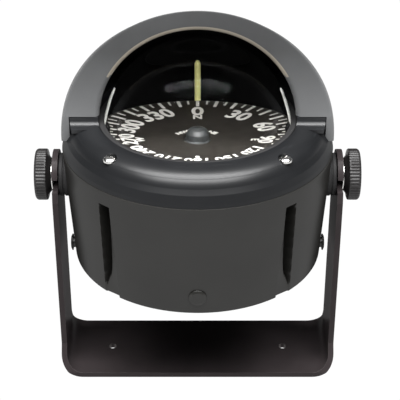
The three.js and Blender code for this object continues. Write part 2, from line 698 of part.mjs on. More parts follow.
function athwart(body) {
  return alongX(body).translate([0, ATHWART_SHAFT_Y, ATHWART_SHAFT_Z]);
}

function compensatorShaft() {
  return rod(SHAFT_RADIUS, -SHAFT_HALF_LENGTH, SHAFT_HALF_LENGTH, SMALL);
}

function compensatorMagnet(radius) {
  return ring(SHAFT_RADIUS + FIT, radius, 14, 26, HEAD);
}

// A push-in plug over one end of a shaft, with its stem pointing to the axis of the case.
function plug(surface) {
  const stem = rod(2.9, 62, surface + 1.2, SMALL);
  const face = surface + GAP + 0.4;
  const head = turned([
    [0, face], [PLUG_RADIUS, face], [4.2, face + 0.8], [2.8, face + 1.4],
    [1.2, face + 1.6], [0.7, face + 1.3], [0, face + 1.3],
  ], HEAD);
  return stem.add(head);
}

// ---- night light -----------------------------------------------------------------------------
function lampHousing() {
  const low = BEZEL_SEAT_Z + GAP;
  const body = box(-8, 8, 53.5, 61, low, low + 6);
  return body.subtract(box(-5, 5, 52, 58.5, low + 1.3, low + 4.7));
}

function lampLens() {
  const low = BEZEL_SEAT_Z + GAP + 1.6;
  return box(-4.7, 4.7, 52.8, 56, low, low + 2.8);
}

// ---- hood ------------------------------------------------------------------------------------
// A ball whose slices across Y keep their width but have their height set by the crown's fall,
// so the top drops towards the back and stays a closed surface down to the rear skirt.
function helmet(radius, height, tail) {
  const ball = new THREE.SphereGeometry(radius, 36, 20);
  const places = ball.attributes.position;
  for (let i = 0; i < places.count; i += 1) {
    const y = Math.min(Math.max(places.getY(i), -radius), radius);
    const width = Math.sqrt(Math.max(radius * radius - y * y, 0));
    const share = Math.min(1, (radius - y) / (radius - HOOD_FRONT_Y));
    const tall = tail + (height - tail) * Math.pow(Math.max(share, 0), HOOD_FALL);
    const squeeze = width > 1e-6 ? tall / width : 0;
    places.setZ(i, places.getZ(i) * squeeze + HOOD_BASE_Z);
  }
  return solid(ball);
}

// The flat front of the hood, half an ellipse as wide and as high as the crown is there.
function hoodFront() {
  const half = Math.sqrt(HOOD_RADIUS ** 2 - HOOD_FRONT_Y ** 2);
  const outline = new THREE.Shape();
  outline.absellipse(0, 0, half, HOOD_HEIGHT, 0, Math.PI, false);
  outline.closePath();
  const front = new THREE.ExtrudeGeometry(outline, {
    depth: HOOD_PLATE,
    bevelEnabled: false,
    curveSegments: HOOD_ARC,
  });
  front.rotateX(Math.PI / 2);
  front.translate(0, HOOD_FRONT_Y + HOOD_PLATE, HOOD_BASE_Z);
  return solid(front);
}

function hood() {
  const skirtInner = HOOD_RADIUS - HOOD_WALL;
  const crown = HOOD_HEIGHT - HOOD_CROWN_WALL;
  const plateBack = HOOD_FRONT_Y + HOOD_PLATE;
  const bezelRoom = rod(skirtInner, HOOD_BASE_Z - 1, HOOD_SEAM_Z, ROUND);
  const outer = helmet(HOOD_RADIUS, HOOD_HEIGHT, HOOD_TAIL_HEIGHT).add(hoodFront());
  const inner = helmet(skirtInner, crown, HOOD_TAIL_HEIGHT - HOOD_CROWN_WALL);
  const above = box(-90, 90, HOOD_FRONT_Y, 90, HOOD_BASE_Z, 260);
  const behindPlate = box(-90, 90, plateBack, 90, HOOD_BASE_Z - 5, 260);
  const insideRoom = inner.add(bezelRoom).intersect(behindPlate);
  const arch = alongY(rod(HOOD_ARCH_RADIUS, HOOD_FRONT_Y - 1, plateBack + 1, 2 * HOOD_ARC))
    .translate([0, 0, HOOD_ARCH_Z]);
  const low = HOOD_BASE_Z - 1;
  const underPlate = box(-skirtInner, skirtInner, -20, plateBack + 0.01, low, HOOD_SEAM_Z);
  return outer.intersect(above).subtract(insideRoom).subtract(arch).subtract(underPlate);
}

// ---- assembly --------------------------------------------------------------------------------
add("bracket", bracket(), bracketPaint);
addPair("knob", knob(), knobPlastic);
addPair("knob_insert", knobInsert(), brass);
addPair("clamp_washer", clampWasher(), stainless);
addPair("friction_washer", frictionWasher(), rubber);
addPair("pivot_stud", onPivot(rod(STUD_RADIUS, STUD_INNER_X, STUD_OUTER_X, STUD_SIDES)), stainless);

add("case", caseShell(), blackPlastic);
add("bottom_cover", bottomCover(), blackPlastic);
coverScrews(coverScrew()).forEach((screw, i) => add(`cover_screw_${i + 1}`, screw, stainless));
add("cable_gland", cableGland(), rubber);
add("bezel", bezel(), blackPlastic);
BEZEL_SCREW_AZIMUTHS.forEach((azimuth, i) => {
  add(`bezel_screw_${i + 1}`, place(bezelScrew(), azimuth, BEZEL_SCREW_CIRCLE), stainless);
});

add("dome", dome(), clearAcrylic);
add("dome_seal", domeSeal(), rubber);
add("bowl_gasket", bowlGasket(), rubber);
add("bowl", bowl(), gimbalPlastic);
add("diaphragm", diaphragm(), rubber);
add("diaphragm_ring", diaphragmRing(), brass);
add("fill_plug", fillPlug(), brass);

add("gimbal_ring", gimbalRing(), gimbalPlastic);
add("roll_pin_rear", rollPin(), stainless);
add("roll_pin_front", mirrorY(rollPin()), stainless);
addPair("pitch_pin", pitchPin(), stainless);
add("cradle", cradle(), gimbalPlastic);
add("counterweight", counterweight(), brass);
add("pivot_post", pivotPost(), stainless);
for (const [azimuth, tip, name, material] of lubberPosts()) {
  add(name, place(rod(LUBBER_RADIUS, CRADLE_RING_Z + GAP, tip, PIN), azimuth, LUBBER_CIRCLE), material);
}

add("dial_card", tipped(dialCard()), cardPaint);
add("card_hub", tipped(cardHub()), gimbalPlastic);
add("card_float", tipped(cardFloat()), gimbalPlastic);
add("card_magnet_right", tipped(cardMagnet()), magnetSteel);
add("card_magnet_left", tipped(mirrorX(cardMagnet())), magnetSteel);
add("jewel_cup", tipped(jewelCup()), jewelBlue);

add("compensator_shaft_fore_aft", foreAft(compensatorShaft()), brass);
add("compensator_shaft_athwart", athwart(compensatorShaft()), brass);
add("compensator_magnet_fore_aft", foreAft(compensatorMagnet(4.8)), magnetSteel);
add("compensator_magnet_athwart", athwart(compensatorMagnet(2.9)), magnetSteel);
const rearPlug = foreAft(plug(caseRadius(FORE_AFT_SHAFT_Z)));
add("compensator_plug_rear", rearPlug, blackPlastic);
add("compensator_plug_front", mirrorY(rearPlug), blackPlastic);
addPair("compensator_plug", athwart(plug(caseRadius(ATHWART_SHAFT_Z))), blackPlastic);

add("lamp_housing", lampHousing(), blackPlastic);
add("lamp_lens", lampLens(), lampGreen);
add("hood", hood(), blackPlastic);

export default compass;
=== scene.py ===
"""The looks of a bracket-mounted marine compass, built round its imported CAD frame.

Shapes are worked out in millimetres, in the frame's own axes (+Z up, the reader looks
along +Y), and turned into metres when a mesh is made.
"""

import json
from math import acos, asin, atan2, cos, degrees, exp, hypot, pi, radians, sin, sqrt, tan

import bmesh
import bpy
import numpy as np
from mathutils import Matrix, Vector


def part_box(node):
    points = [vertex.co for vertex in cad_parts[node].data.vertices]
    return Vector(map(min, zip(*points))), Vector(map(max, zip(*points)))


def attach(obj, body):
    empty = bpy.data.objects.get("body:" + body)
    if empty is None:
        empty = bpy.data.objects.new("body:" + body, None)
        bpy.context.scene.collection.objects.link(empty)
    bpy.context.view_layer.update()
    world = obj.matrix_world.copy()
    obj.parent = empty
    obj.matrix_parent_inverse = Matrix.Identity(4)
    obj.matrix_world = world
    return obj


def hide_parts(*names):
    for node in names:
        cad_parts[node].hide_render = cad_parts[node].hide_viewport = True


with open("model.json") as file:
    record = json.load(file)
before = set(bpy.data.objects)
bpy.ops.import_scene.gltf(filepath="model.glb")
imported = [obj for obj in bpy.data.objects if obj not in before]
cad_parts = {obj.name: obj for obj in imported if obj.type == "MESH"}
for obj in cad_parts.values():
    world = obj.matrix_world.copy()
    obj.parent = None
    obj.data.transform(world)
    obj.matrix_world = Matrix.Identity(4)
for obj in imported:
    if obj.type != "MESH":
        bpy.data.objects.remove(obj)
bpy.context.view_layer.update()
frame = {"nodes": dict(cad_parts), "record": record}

MM = 0.001
SHARP = 34  # degrees between faces above which an edge is shaded sharp


def span(node):
    """Lowest and highest corner of a CAD node, in millimetres."""
    low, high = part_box(node)
    return [v / MM for v in low], [v / MM for v in high]


# ---- sizes taken from the frame ----
bracket_high = span("bracket")[1]
case_low = span("case")[0]
bezel_low, bezel_high = span("bezel")
hood_low, hood_high = span("hood")
dome_low = span("dome")[0]
bowl_low, bowl_high = span("bowl")
knob_low, knob_high = span("knob_right")
stud_low, stud_high = span("pivot_stud_right")
washer_low, washer_high = span("clamp_washer_right")
friction_low, friction_high = span("friction_washer_right")
cover_low, cover_high = span("bottom_cover")
gimbal_low, gimbal_high = span("gimbal_ring")

PIVOT_Z = (knob_low[2] + knob_high[2]) / 2
SPHERE_Z = (gimbal_low[2] + gimbal_high[2]) / 2
SEAT_Z = bezel_high[2]
BEZEL_BOTTOM = bezel_low[2]
HOOD_FRONT = hood_low[1]
HOOD_BACK = hood_high[1]
HOOD_BASE = hood_low[2]
HOOD_TOP = hood_high[2]
KNOB_RADIUS = (knob_high[2] - knob_low[2]) / 2

# ---- view, in metres and degrees ----
CAMERA_TARGET = (0, 0, 0.101)
CAMERA_ELEVATION = 30.4
CAMERA_DISTANCE = 0.675
CAMERA_LENS = 112.5  # on a 36 mm sensor
CAMERA_SHIFT = 0.006
WORLD_STRENGTH = 0.05
FLOOR_STRENGTH = 1.02
FLOOR_REACH = 6000  # half the floor's width, in millimetres
FLOOR_DROP = 0.3  # gap under the base, in millimetres

# ---- sizes the frame's boxes don't give ----
BRACKET_PLATE = 3
BRACKET_BEND = 12
ARM_TOP_RADIUS = bracket_high[2] - PIVOT_Z
ARM_HALF_WIDTH = 16
ARM_SHOULDER_Z = 17
ARM_TAPER_BELOW = 9
ARM_SLOT_HEIGHT = 6.6
BASE_HOLE_X = 49.2
BASE_HOLE_RADIUS = 2.25

CASE_TOP = BEZEL_BOTTOM - 0.1
CASE_BOTTOM = case_low[2]
CASE_BOTTOM_RADIUS = 66.6
CASE_TOP_RADIUS = 70.9
CASE_FOOT = 1.6  # rounding of the case's lower edge
CASE_ROW = 1.7  # height between its rows of points
CASE_INNER = 57
RECESS_RADIUS = 63.2  # room for the bottom cover
RECESS_Z = 79
FLUTE_TOP = 129
PANEL_AZIMUTH = 38.2  # the flute's two sides at its top
WING_AZIMUTH = 43.7
SHELF_DEPTH = 4.2
POCKET_DEPTH = 9.0
COVER_SCREW_AZIMUTHS = (45, 135, 225, 315)
COVER_SCREW_CIRCLE = 59.3
SPOTFACE_X = 68
SPOTFACE_RADIUS = 12.2

BEZEL_TOP = 152.8
BEZEL_RADIUS = bezel_high[0]
BEZEL_INNER = 64
BEZEL_LEDGE = 60
BEZEL_OPENING = 52
LIP_Z = 148.6  # underside of the bezel's lip
BEYOND = 90  # further out than the bezel
OVER = 160  # higher than the bezel
SEAT_RADIUS = 66.3
SEAT_FILLET = 3.4
REBATE_Z = 142.3
SCREW_CIRCLE = 62.6
SCREW_AZIMUTHS = (43.3, 136.7, 223.3, 316.7)
SCREW_SEAT = BEZEL_TOP - 3
SINK_RADIUS = 3.6

DOME_RADIUS = 49
BOWL_INNER = 47
BOWL_WALL = 2.5
BOSS_RADIUS = 23.8
BOSS_BORE = 12.2
FLANGE_RADIUS = 57
LENS_IOR = 1.40

HOOD_SKIRT_INNER = 66.7
HOOD_PLATE = 3
PLATE_BACK = HOOD_FRONT + HOOD_PLATE
HOOD_CROWN_WALL = 3
HOOD_TAIL = 17
HOOD_FALL = 0.6
HOOD_ARCH = 50.4
HOOD_ARCH_Z = 152.8
HOOD_SEAM = 156.6
HOOD_LEAN = 1.7
OUTER_EDGE = 1.0  # rounding round the outside of the hood's face
ARCH_EDGE = 2.8  # rounding round its opening
RIM_HIGHLIGHT_BOTTOM = HOOD_SEAM + 22  # the painted highlight round the opening starts this high

CARD_RADIUS = 34.2
CARD_THICKNESS = 0.8
CARD_Z = 139.4
CARD_DIP = 6
CARD_BORE = 4.6
TICK_RADIUS = 33.5
LONG_TICK = (3.7, 0.95)  # length and width
SHORT_TICK = (2.2, 0.55)
NUMERAL_RADIUS = 25.7
NUMERAL_SIZE = 8.4
LETTER_RADIUS = 21.3
LETTER_SIZE = 4.2
SMALL_SIZE = 2.9
PRINT_HEIGHT = 0.07
POST_RADIUS = 0.85
BLADE_WIDTH = 2.6  # the side posts are this many times wider across
BLADE_DEPTH = 2.2
SIDE_POST_EXTRA = 5
SIDE_POST_OUT = 1.02  # how much further out they stand than in the CAD

KNURL_TEETH = 46
KNURL_STEPS = 6  # points round one tooth
KNURL_DEPTH = 0.42
STUD_RADIUS = 3
STUD_TIP = 0.35  # how much slimmer the stud is at its end
THREAD_PITCH = 1.0
THREAD_ROWS = 6  # rows of points in one pitch
THREAD_DEPTH = 0.42


# ---- mesh helpers ----
def placed(name, data):
    """A new object in the scene that shows data."""
    obj = bpy.data.objects.new(name, data)
    bpy.context.scene.collection.objects.link(obj)
    return obj


def make(name, verts, faces, sharp=SHARP):
    """An object from millimetre vertices, with doubled points merged and faces turned outward."""
    mesh = bpy.data.meshes.new(name)
    mesh.from_pydata([Vector(v) * MM for v in verts], [], faces)
    obj = placed(name, mesh)
    tidy(obj, sharp)
    return obj


def shade(mesh, sharp):
    """Smooth shading, except over edges sharper than the given angle."""
    mesh.polygons.foreach_set("use_smooth", [True] * len(mesh.polygons))
    mesh.set_sharp_from_angle(angle=radians(sharp))


def tidy(obj, sharp=SHARP):
    """Merges doubled points, turns faces outward and marks the sharp edges."""
    work = bmesh.new()
    work.from_mesh(obj.data)
    bmesh.ops.remove_doubles(work, verts=work.verts, dist=2e-6)
    bmesh.ops.dissolve_degenerate(work, edges=work.edges, dist=1e-7)
    bmesh.ops.recalc_face_normals(work, faces=work.faces)
    work.to_mesh(obj.data)
    work.free()
    shade(obj.data, sharp)


def rounded(points, steps, closed):
    """A line of (a, b, corner radius) points with each corner turned into an arc."""
    out = []
    count = len(points)
    for i, (a, b, radius) in enumerate(points):
        if radius <= 0 or (not closed and i in (0, count - 1)):
            out.append((a, b))
            continue
        here = Vector((a, b))
        back = Vector(points[i - 1][:2]) - here
        ahead = Vector(points[(i + 1) % count][:2]) - here
        half = back.angle(ahead) / 2
        reach = min(radius / tan(half), 0.48 * back.length, 0.48 * ahead.length)
        size = reach * tan(half)
        start = here + back.normalized() * reach
        end = here + ahead.normalized() * reach
        inward = (back.normalized() + ahead.normalized()).normalized()
        centre = here + inward * (size / sin(half))
        first = (start - centre).normalized()
        last = (end - centre).normalized()
        for k in range(steps + 1):
            mixed = first.slerp(last, k / steps) if first.angle(last) > 1e-4 else first
            out.append(tuple(centre + mixed * size))
    return out


def grid(columns, count, closed):
    """Faces over columns of count points, the last column joined to the first."""
    faces = []
    for k in range(columns):
        a, b = k * count, ((k + 1) % columns) * count
        for i in range(count if closed else count - 1):
            j = (i + 1) % count
            faces.append((a + i, b + i, b + j, a + j))
    return faces


def lathe(profile, steps, closed):
    """Vertices and faces of an outline of (radius, z) points turned about Z."""
    verts = []
    for k in range(steps):
        angle = 2 * pi * k / steps
        verts += [(r * cos(angle), r * sin(angle), z) for r, z in profile]
    return verts, grid(steps, len(profile), closed)


def turned(name, points, steps, closed=True, corner=4):
    """A turned piece about Z from (radius, z, corner radius) points."""
    return make(name, *lathe(rounded(points, corner, closed), steps, closed))


def moved(obj, matrix):
    obj.data.transform(matrix)
    obj.data.update()
    return obj


def shift(x=0, y=0, z=0):
    return Matrix.Translation(Vector((x, y, z)) * MM)


def turn(degrees, axis):
    return Matrix.Rotation(radians(degrees), 4, axis)


def at_azimuth(azimuth, radius):
    """Matrix that carries a piece to a place round the case, azimuth in degrees from the front."""
    angle = radians(azimuth)
    return shift(radius * sin(angle), -radius * cos(angle))


def evaluated_mesh(obj):
    """A new mesh of what obj looks like with its modifiers, or its text, worked out."""
    graph = bpy.context.evaluated_depsgraph_get()
    return bpy.data.meshes.new_from_object(obj.evaluated_get(graph))


def apply_modifiers(obj):
    mesh = evaluated_mesh(obj)
    obj.modifiers.clear()
    obj.data = mesh


def cut(obj, *tools, operation="DIFFERENCE"):
    """Cuts obj with each tool, which is then deleted."""
    for tool in tools:
        boolean = obj.modifiers.new("cut", "BOOLEAN")
        boolean.operation = operation
        boolean.solver = "EXACT"
        boolean.object = tool
    apply_modifiers(obj)
    for tool in tools:
        bpy.data.objects.remove(tool)


def bevel(obj, width, segments, angle, flat=False):
    """Rounds every edge sharper than angle; flat keeps the faces square to the axes dead flat."""
    edge = obj.modifiers.new("edge", "BEVEL")
    edge.width = width * MM
    edge.segments = segments
    edge.limit_method = "ANGLE"
    edge.angle_limit = radians(angle)
    apply_modifiers(obj)
    tidy(obj)
    if flat:
        for face in obj.data.polygons:
            face.use_smooth = max(abs(part) for part in face.normal) < 0.9999
    even = obj.modifiers.new("even", "WEIGHTED_NORMAL")
    even.keep_sharp = True
    apply_modifiers(obj)


def rod(name, radius, low, high, steps=32):
    return make(name, *lathe([(0, low), (radius, low), (radius, high), (0, high)], steps, False))


def block(name, low, high):
    x0, y0, z0 = low
    x1, y1, z1 = high
    verts = [(x, y, z) for x in (x0, x1) for y in (y0, y1) for z in (z0, z1)]
    faces = [(0, 1, 3, 2), (4, 6, 7, 5), (0, 4, 5, 1), (2, 3, 7, 6), (0, 2, 6, 4), (1, 5, 7, 3)]
    return make(name, verts, faces)


def prism(name, outline, low, high, axes):
    """An outline of 2D points carried from low to high along the third axis.

    axes gives the places of (first, second, along) in x, y, z order.
    """
    verts = []
    for along in (low, high):
        for a, b in outline:
            point = [0, 0, 0]
            for axis, value in zip(axes, (a, b, along)):
                point["xyz".index(axis)] = value
            verts.append(tuple(point))
    count = len(outline)
    faces = [tuple(range(count)), tuple(range(2 * count - 1, count - 1, -1))]
    faces += [(i, (i + 1) % count, count + (i + 1) % count, count + i) for i in range(count)]
    return make(name, verts, faces)


def joined(name, parts):
    """One object from several, for pieces printed or moulded as one."""
    work = bmesh.new()
    for part in parts:
        work.from_mesh(part.data)
    mesh = bpy.data.meshes.new(name)
    work.to_mesh(mesh)
    work.free()
    for part in parts:
        bpy.data.objects.remove(part)
    shade(mesh, SHARP)
    return placed(name, mesh)


def finish(obj, material, body, slot, *nodes):
    """Gives a piece its material and its body, and hides the CAD nodes it stands for; slot is not
    used.
    """
    obj.data.materials.clear()
    obj.data.materials.append(material)
    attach(obj, body)
    if nodes:
        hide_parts(*nodes)


# ---- materials ----
class Shader:
    """A node material built round one Principled shader, with texture in the object's space."""

    def __init__(self, name):
        self.material = bpy.data.materials.new(name)
        self.material.use_nodes = True
        self.tree = self.material.node_tree
        self.main = self.tree.nodes["Principled BSDF"]
        self.place = self.node("TexCoord")

    def link(self, a, b):
        self.tree.links.new(a, b)

    def set(self, node, **inputs):
        """Fills a node's inputs, named with underscores for spaces."""
        for key, value in inputs.items():
            node.inputs[key.replace("_", " ")].default_value = value
        return node

    def node(self, kind, **inputs):
        return self.set(self.tree.nodes.new("ShaderNode" + kind), **inputs)

    def noise(self, size, detail=4, rough=0.55):
        """Noise whose features are about size millimetres across."""
        node = self.node("TexNoise", Scale=1 / (size * MM), Detail=detail, Roughness=rough)
        self.link(self.place.outputs["Object"], node.inputs["Vector"])
        return node.outputs["Fac"]

    def ramp(self, value, stops):
        node = self.node("ValToRGB")
        elements = node.color_ramp.elements
        while len(elements) < len(stops):
            elements.new(0.5)
        for element, (position, color) in zip(elements, stops):
            element.position = position
            element.color = (*color, 1)
        self.link(value, node.inputs["Fac"])
        return node.outputs["Color"]

    def spread(self, value, low, high, start=0.3, end=0.7):
        """The value's range from start to end, stretched to run from low to high."""
        node = self.node("MapRange", From_Min=start, From_Max=end, To_Min=low, To_Max=high)
        self.link(value, node.inputs["Value"])
        return node.outputs["Result"]

    def mix(self, factor, a, b):
        node = self.node("Mix")
        node.data_type = "RGBA"
        self.link(factor, node.inputs["Factor"])
        self.link(a, node.inputs["A"])
        if isinstance(b, tuple):
            node.inputs["B"].default_value = (*b, 1)
        else:
            self.link(b, node.inputs["B"])
        return node.outputs["Result"]

    def bump(self, value, depth, strength, under=None):
        """A bump of depth millimetres; under is another bump's output to build on."""
        node = self.node("Bump", Distance=depth * MM, Strength=strength)
        self.link(value, node.inputs["Height"])
        if under:
            self.link(under, node.inputs["Normal"])
        return node.outputs["Normal"]

    def color(self, output):
        self.link(output, self.main.inputs["Base Color"])

    def roughness(self, output):
        self.link(output, self.main.inputs["Roughness"])

    def normal(self, output):
        self.link(output, self.main.inputs["Normal"])


def tone(color, factor):
    return tuple(min(1, c * factor) for c in color)


def moulded(name, color, rough, grain=0.35, depth=0.02, wear_and_sheen=0.35, specular=0.5, coat=0,
            coat_ior=1.5, painted_glow_below=None):
    """Moulded or painted surface: fine grain, slow colour drift, and lighter edges that are partly
    rubbed and partly a painted sheen.

    A plain dielectric has specular 0.5 and no coat. The optional last argument gives two heights,
    in metres, and how many times lighter the surface is at the lower one; this is painted light, a
    glow low down.
    """
    s = Shader(name)
    drift = s.noise(28, 3)
    fine = s.noise(grain, 5, 0.6)
    base = s.ramp(drift, [(0.3, tone(color, 0.86)), (0.7, tone(color, 1.16))])
    speck = s.ramp(fine, [(0.62, tone(color, 0.5)), (0.8, tone(color, 1.9))])
    mask = s.spread(fine, 0, 0.25, 0.55, 0.75)
    base = s.mix(mask, base, speck)
    # Painted light: the colour is lighter below the given heights, a glow standing in for light
    # thrown up from below.
    if painted_glow_below:
        axes = s.node("SeparateXYZ")
        s.link(s.place.outputs["Object"], axes.inputs["Vector"])
        glow_share = s.spread(axes.outputs["Z"], 1, 0, painted_glow_below[0], painted_glow_below[1])
        base = s.mix(s.spread(glow_share, 0, 0.6, 0, 1), base, tone(color, painted_glow_below[2]))
    # Lighter colour on sharp edges, found from pointiness: partly rubbed edges, partly a painted
    # sheen.
    edges = s.node("NewGeometry").outputs["Pointiness"]
    worn_and_sheen = s.spread(edges, 0, wear_and_sheen, 0.53, 0.62)
    base = s.mix(worn_and_sheen, base, tone(color, 3.0))
    s.color(base)
    s.roughness(s.spread(s.noise(9, 4), rough - 0.05, rough + 0.07))
    coarse = s.bump(s.noise(grain * 6, 3), depth * 0.8, 0.4)
    s.normal(s.bump(fine, depth, 0.7, coarse))
    s.set(s.main, Specular_IOR_Level=specular, Coat_Weight=coat, Coat_IOR=coat_ior,
          Coat_Roughness=rough)
    return s.material


def metal(name, color, rough):
    """Machined metal with fine tool marks."""
    s = Shader(name)
    marks = s.noise(0.5, 4, 0.6)
    s.color(s.ramp(s.noise(4, 3), [(0.3, tone(color, 0.82)), (0.7, tone(color, 1.05))]))
    s.roughness(s.spread(marks, rough - 0.06, rough + 0.1))
    s.normal(s.bump(marks, 0.006, 0.6))
    s.set(s.main, Metallic=1.0)
    return s.material


def printed(name, color, rough=0.5):
    """Screen-printed or moulded colour on the card and the posts."""
    s = Shader(name)
    s.color(s.ramp(s.noise(1.2, 3), [(0.3, tone(color, 0.9)), (0.7, tone(color, 1.04))]))
    s.roughness(s.spread(s.noise(0.6, 3), rough - 0.08, rough + 0.08))
    s.normal(s.bump(s.noise(0.3, 3), 0.01, 0.4))
    return s.material


def lens_material(name, tint):
    """Clear liquid-filled dome; light for shadows goes straight through it."""
    s = Shader(name)
    s.set(s.main, IOR=LENS_IOR, Transmission_Weight=1.0, Specular_IOR_Level=0.5,
          Specular_Tint=(0, 0, 0, 1))
    s.color(s.ramp(s.noise(40, 2), [(0.3, tone(tint, 0.995)), (0.7, tint)]))
    s.roughness(s.spread(s.noise(6, 3), 0.0, 0.012))
    clear = s.node("BsdfTransparent")
    path = s.node("LightPath")
    mix = s.node("MixShader")
    s.link(path.outputs["Is Shadow Ray"], mix.inputs[0])
    s.link(s.main.outputs[0], mix.inputs[1])
    s.link(clear.outputs[0], mix.inputs[2])
    s.link(mix.outputs[0], s.tree.nodes["Material Output"].inputs["Surface"])
    return s.material


case_plastic = moulded("case_plastic", (0.0125, 0.0121, 0.0108), 0.36, 0.30, 0.018, 0.3,
                       0, 0.30, 2.15)
bezel_plastic = moulded("bezel_plastic", (0.0095, 0.0100, 0.0110), 0.35, 0.28, 0.014, 0.3,
                        0, 0.26, 2.15)
# The hood is painted lighter over its lowest part, below about 192 mm: painted light, standing in
# for light that the bezel's glossy top throws up onto it.
hood_plastic = moulded("hood_plastic", (0.048, 0.049, 0.050), 0.50, 0.34, 0.03, 0.6,
                       painted_glow_below=(0.156, 0.192, 4.0))
# Near-black copy of the hood's plastic, used for the hood's inside: painted shade.
hood_painted_shade = moulded("hood_painted_shade", (0.002, 0.002, 0.002), 0.6, 0.34, 0.03, 0, 0.06)
# Pale warm colour for the rounding round the top of the hood's opening: a painted highlight.
hood_rim_highlight = moulded("hood_rim_highlight", (0.26, 0.23, 0.185), 0.5, 0.34, 0.02, 0)
bracket_paint = moulded("bracket_paint", (0.036, 0.030, 0.031), 0.30, 0.42, 0.022, 0, 0, 0.10, 1.6)
# Lighter copy of the bracket paint for its rounded edges: a painted highlight.
bracket_edge_highlight = moulded("bracket_edge_highlight", (0.105, 0.095, 0.094), 0.34, 0.42, 0.022, 0, 0, 0.12, 1.6)
knob_plastic = moulded("knob_plastic", (0.012, 0.0108, 0.0108), 0.45, 0.3, 0.02, 0.5)
inner_plastic = moulded("inner_plastic", (0.003, 0.003, 0.003), 0.6, 0.3, 0.012, 0, 0.06)
hub_plastic = moulded("hub_plastic", (0.022, 0.024, 0.024), 0.42, 0.3, 0.01, 0.1)
rubber = moulded("rubber", (0.012, 0.0115, 0.012), 0.7, 0.25, 0.015, 0.1)
card_paint = moulded("card_paint", (0.0095, 0.0077, 0.0056), 0.55, 0.3, 0.006, 0.0)
white_print = printed("white_print", (0.50, 0.49, 0.46))
lubber_green = printed("lubber_green", (0.95, 0.92, 0.36))
lubber_white = printed("lubber_white", (0.92, 0.93, 0.88))
lamp_green = printed("lamp_green", (0.04, 0.45, 0.14), 0.25)
stainless = metal("stainless", (0.78, 0.77, 0.75), 0.22)
brass = metal("brass", (0.68, 0.50, 0.22), 0.3)
magnet_steel = metal("magnet_steel", (0.35, 0.35, 0.37), 0.35)
jewel = printed("jewel", (0.25, 0.40, 0.75), 0.12)
clear_dome = lens_material("clear_dome", (0.985, 0.99, 0.985))


# ---- camera, floor and light ----
def look_at(obj, target):
    direction = Vector(target) - obj.location
    obj.rotation_euler = direction.to_track_quat("-Z", "Y").to_euler()


def camera():
    elevation = radians(CAMERA_ELEVATION)
    target = Vector(CAMERA_TARGET)
    data = bpy.data.cameras.new("camera")
    data.lens = CAMERA_LENS
    data.sensor_width = 36
    data.shift_x = CAMERA_SHIFT
    obj = placed("camera", data)
    away = Vector((0, -cos(elevation), sin(elevation)))
    obj.location = target + away * CAMERA_DISTANCE
    look_at(obj, target)
    bpy.context.scene.camera = obj


def area_light(name, place, target, size, power):
    """A rectangular lamp; metres and watts."""
    data = bpy.data.lights.new(name, "AREA")
    data.shape = "RECTANGLE"
    data.size, data.size_y = size
    data.energy = power
    obj = placed(name, data)
    obj.location = place
    look_at(obj, target)


def studio():
    view = bpy.context.scene.view_settings
    view.view_transform = "Standard"
    view.look = "None"
    world = bpy.data.worlds.new("studio")
    world.use_nodes = True
    background = world.node_tree.nodes["Background"]
    background.inputs["Color"].default_value = (0.95, 0.97, 1.0, 1)
    background.inputs["Strength"].default_value = WORLD_STRENGTH
    bpy.context.scene.world = world
    area_light("overhead", (0, -0.10, 0.90), (0, 0, 0.1), (1.0, 0.16), 11.5)
    area_light("front_high", (0, -0.42, 0.85), (0, 0, 0.12), (1.0, 0.36), 13)

    r = FLOOR_REACH
    floor = make("floor", [(-r, -r, 0), (r, -r, 0), (r, r, 0), (-r, r, 0)], [(0, 1, 2, 3)])
    material = bpy.data.materials.new("lit_floor")
    material.use_nodes = True
    tree = material.node_tree
    tree.nodes.remove(tree.nodes["Principled BSDF"])
    glow = tree.nodes.new("ShaderNodeEmission")
    glow.inputs["Strength"].default_value = FLOOR_STRENGTH
    tree.links.new(glow.outputs[0], tree.nodes["Material Output"].inputs["Surface"])
    floor.data.materials.append(material)
    moved(floor, shift(z=-FLOOR_DROP))


camera()
studio()


# ---- bracket ----
def arc(cx, cy, radius, start, end, steps):
    """Points along a circle, from start to end degrees."""
    angles = [radians(start + (end - start) * k / steps) for k in range(steps + 1)]
    return [(cx + radius * cos(a), cy + radius * sin(a)) for a in angles]


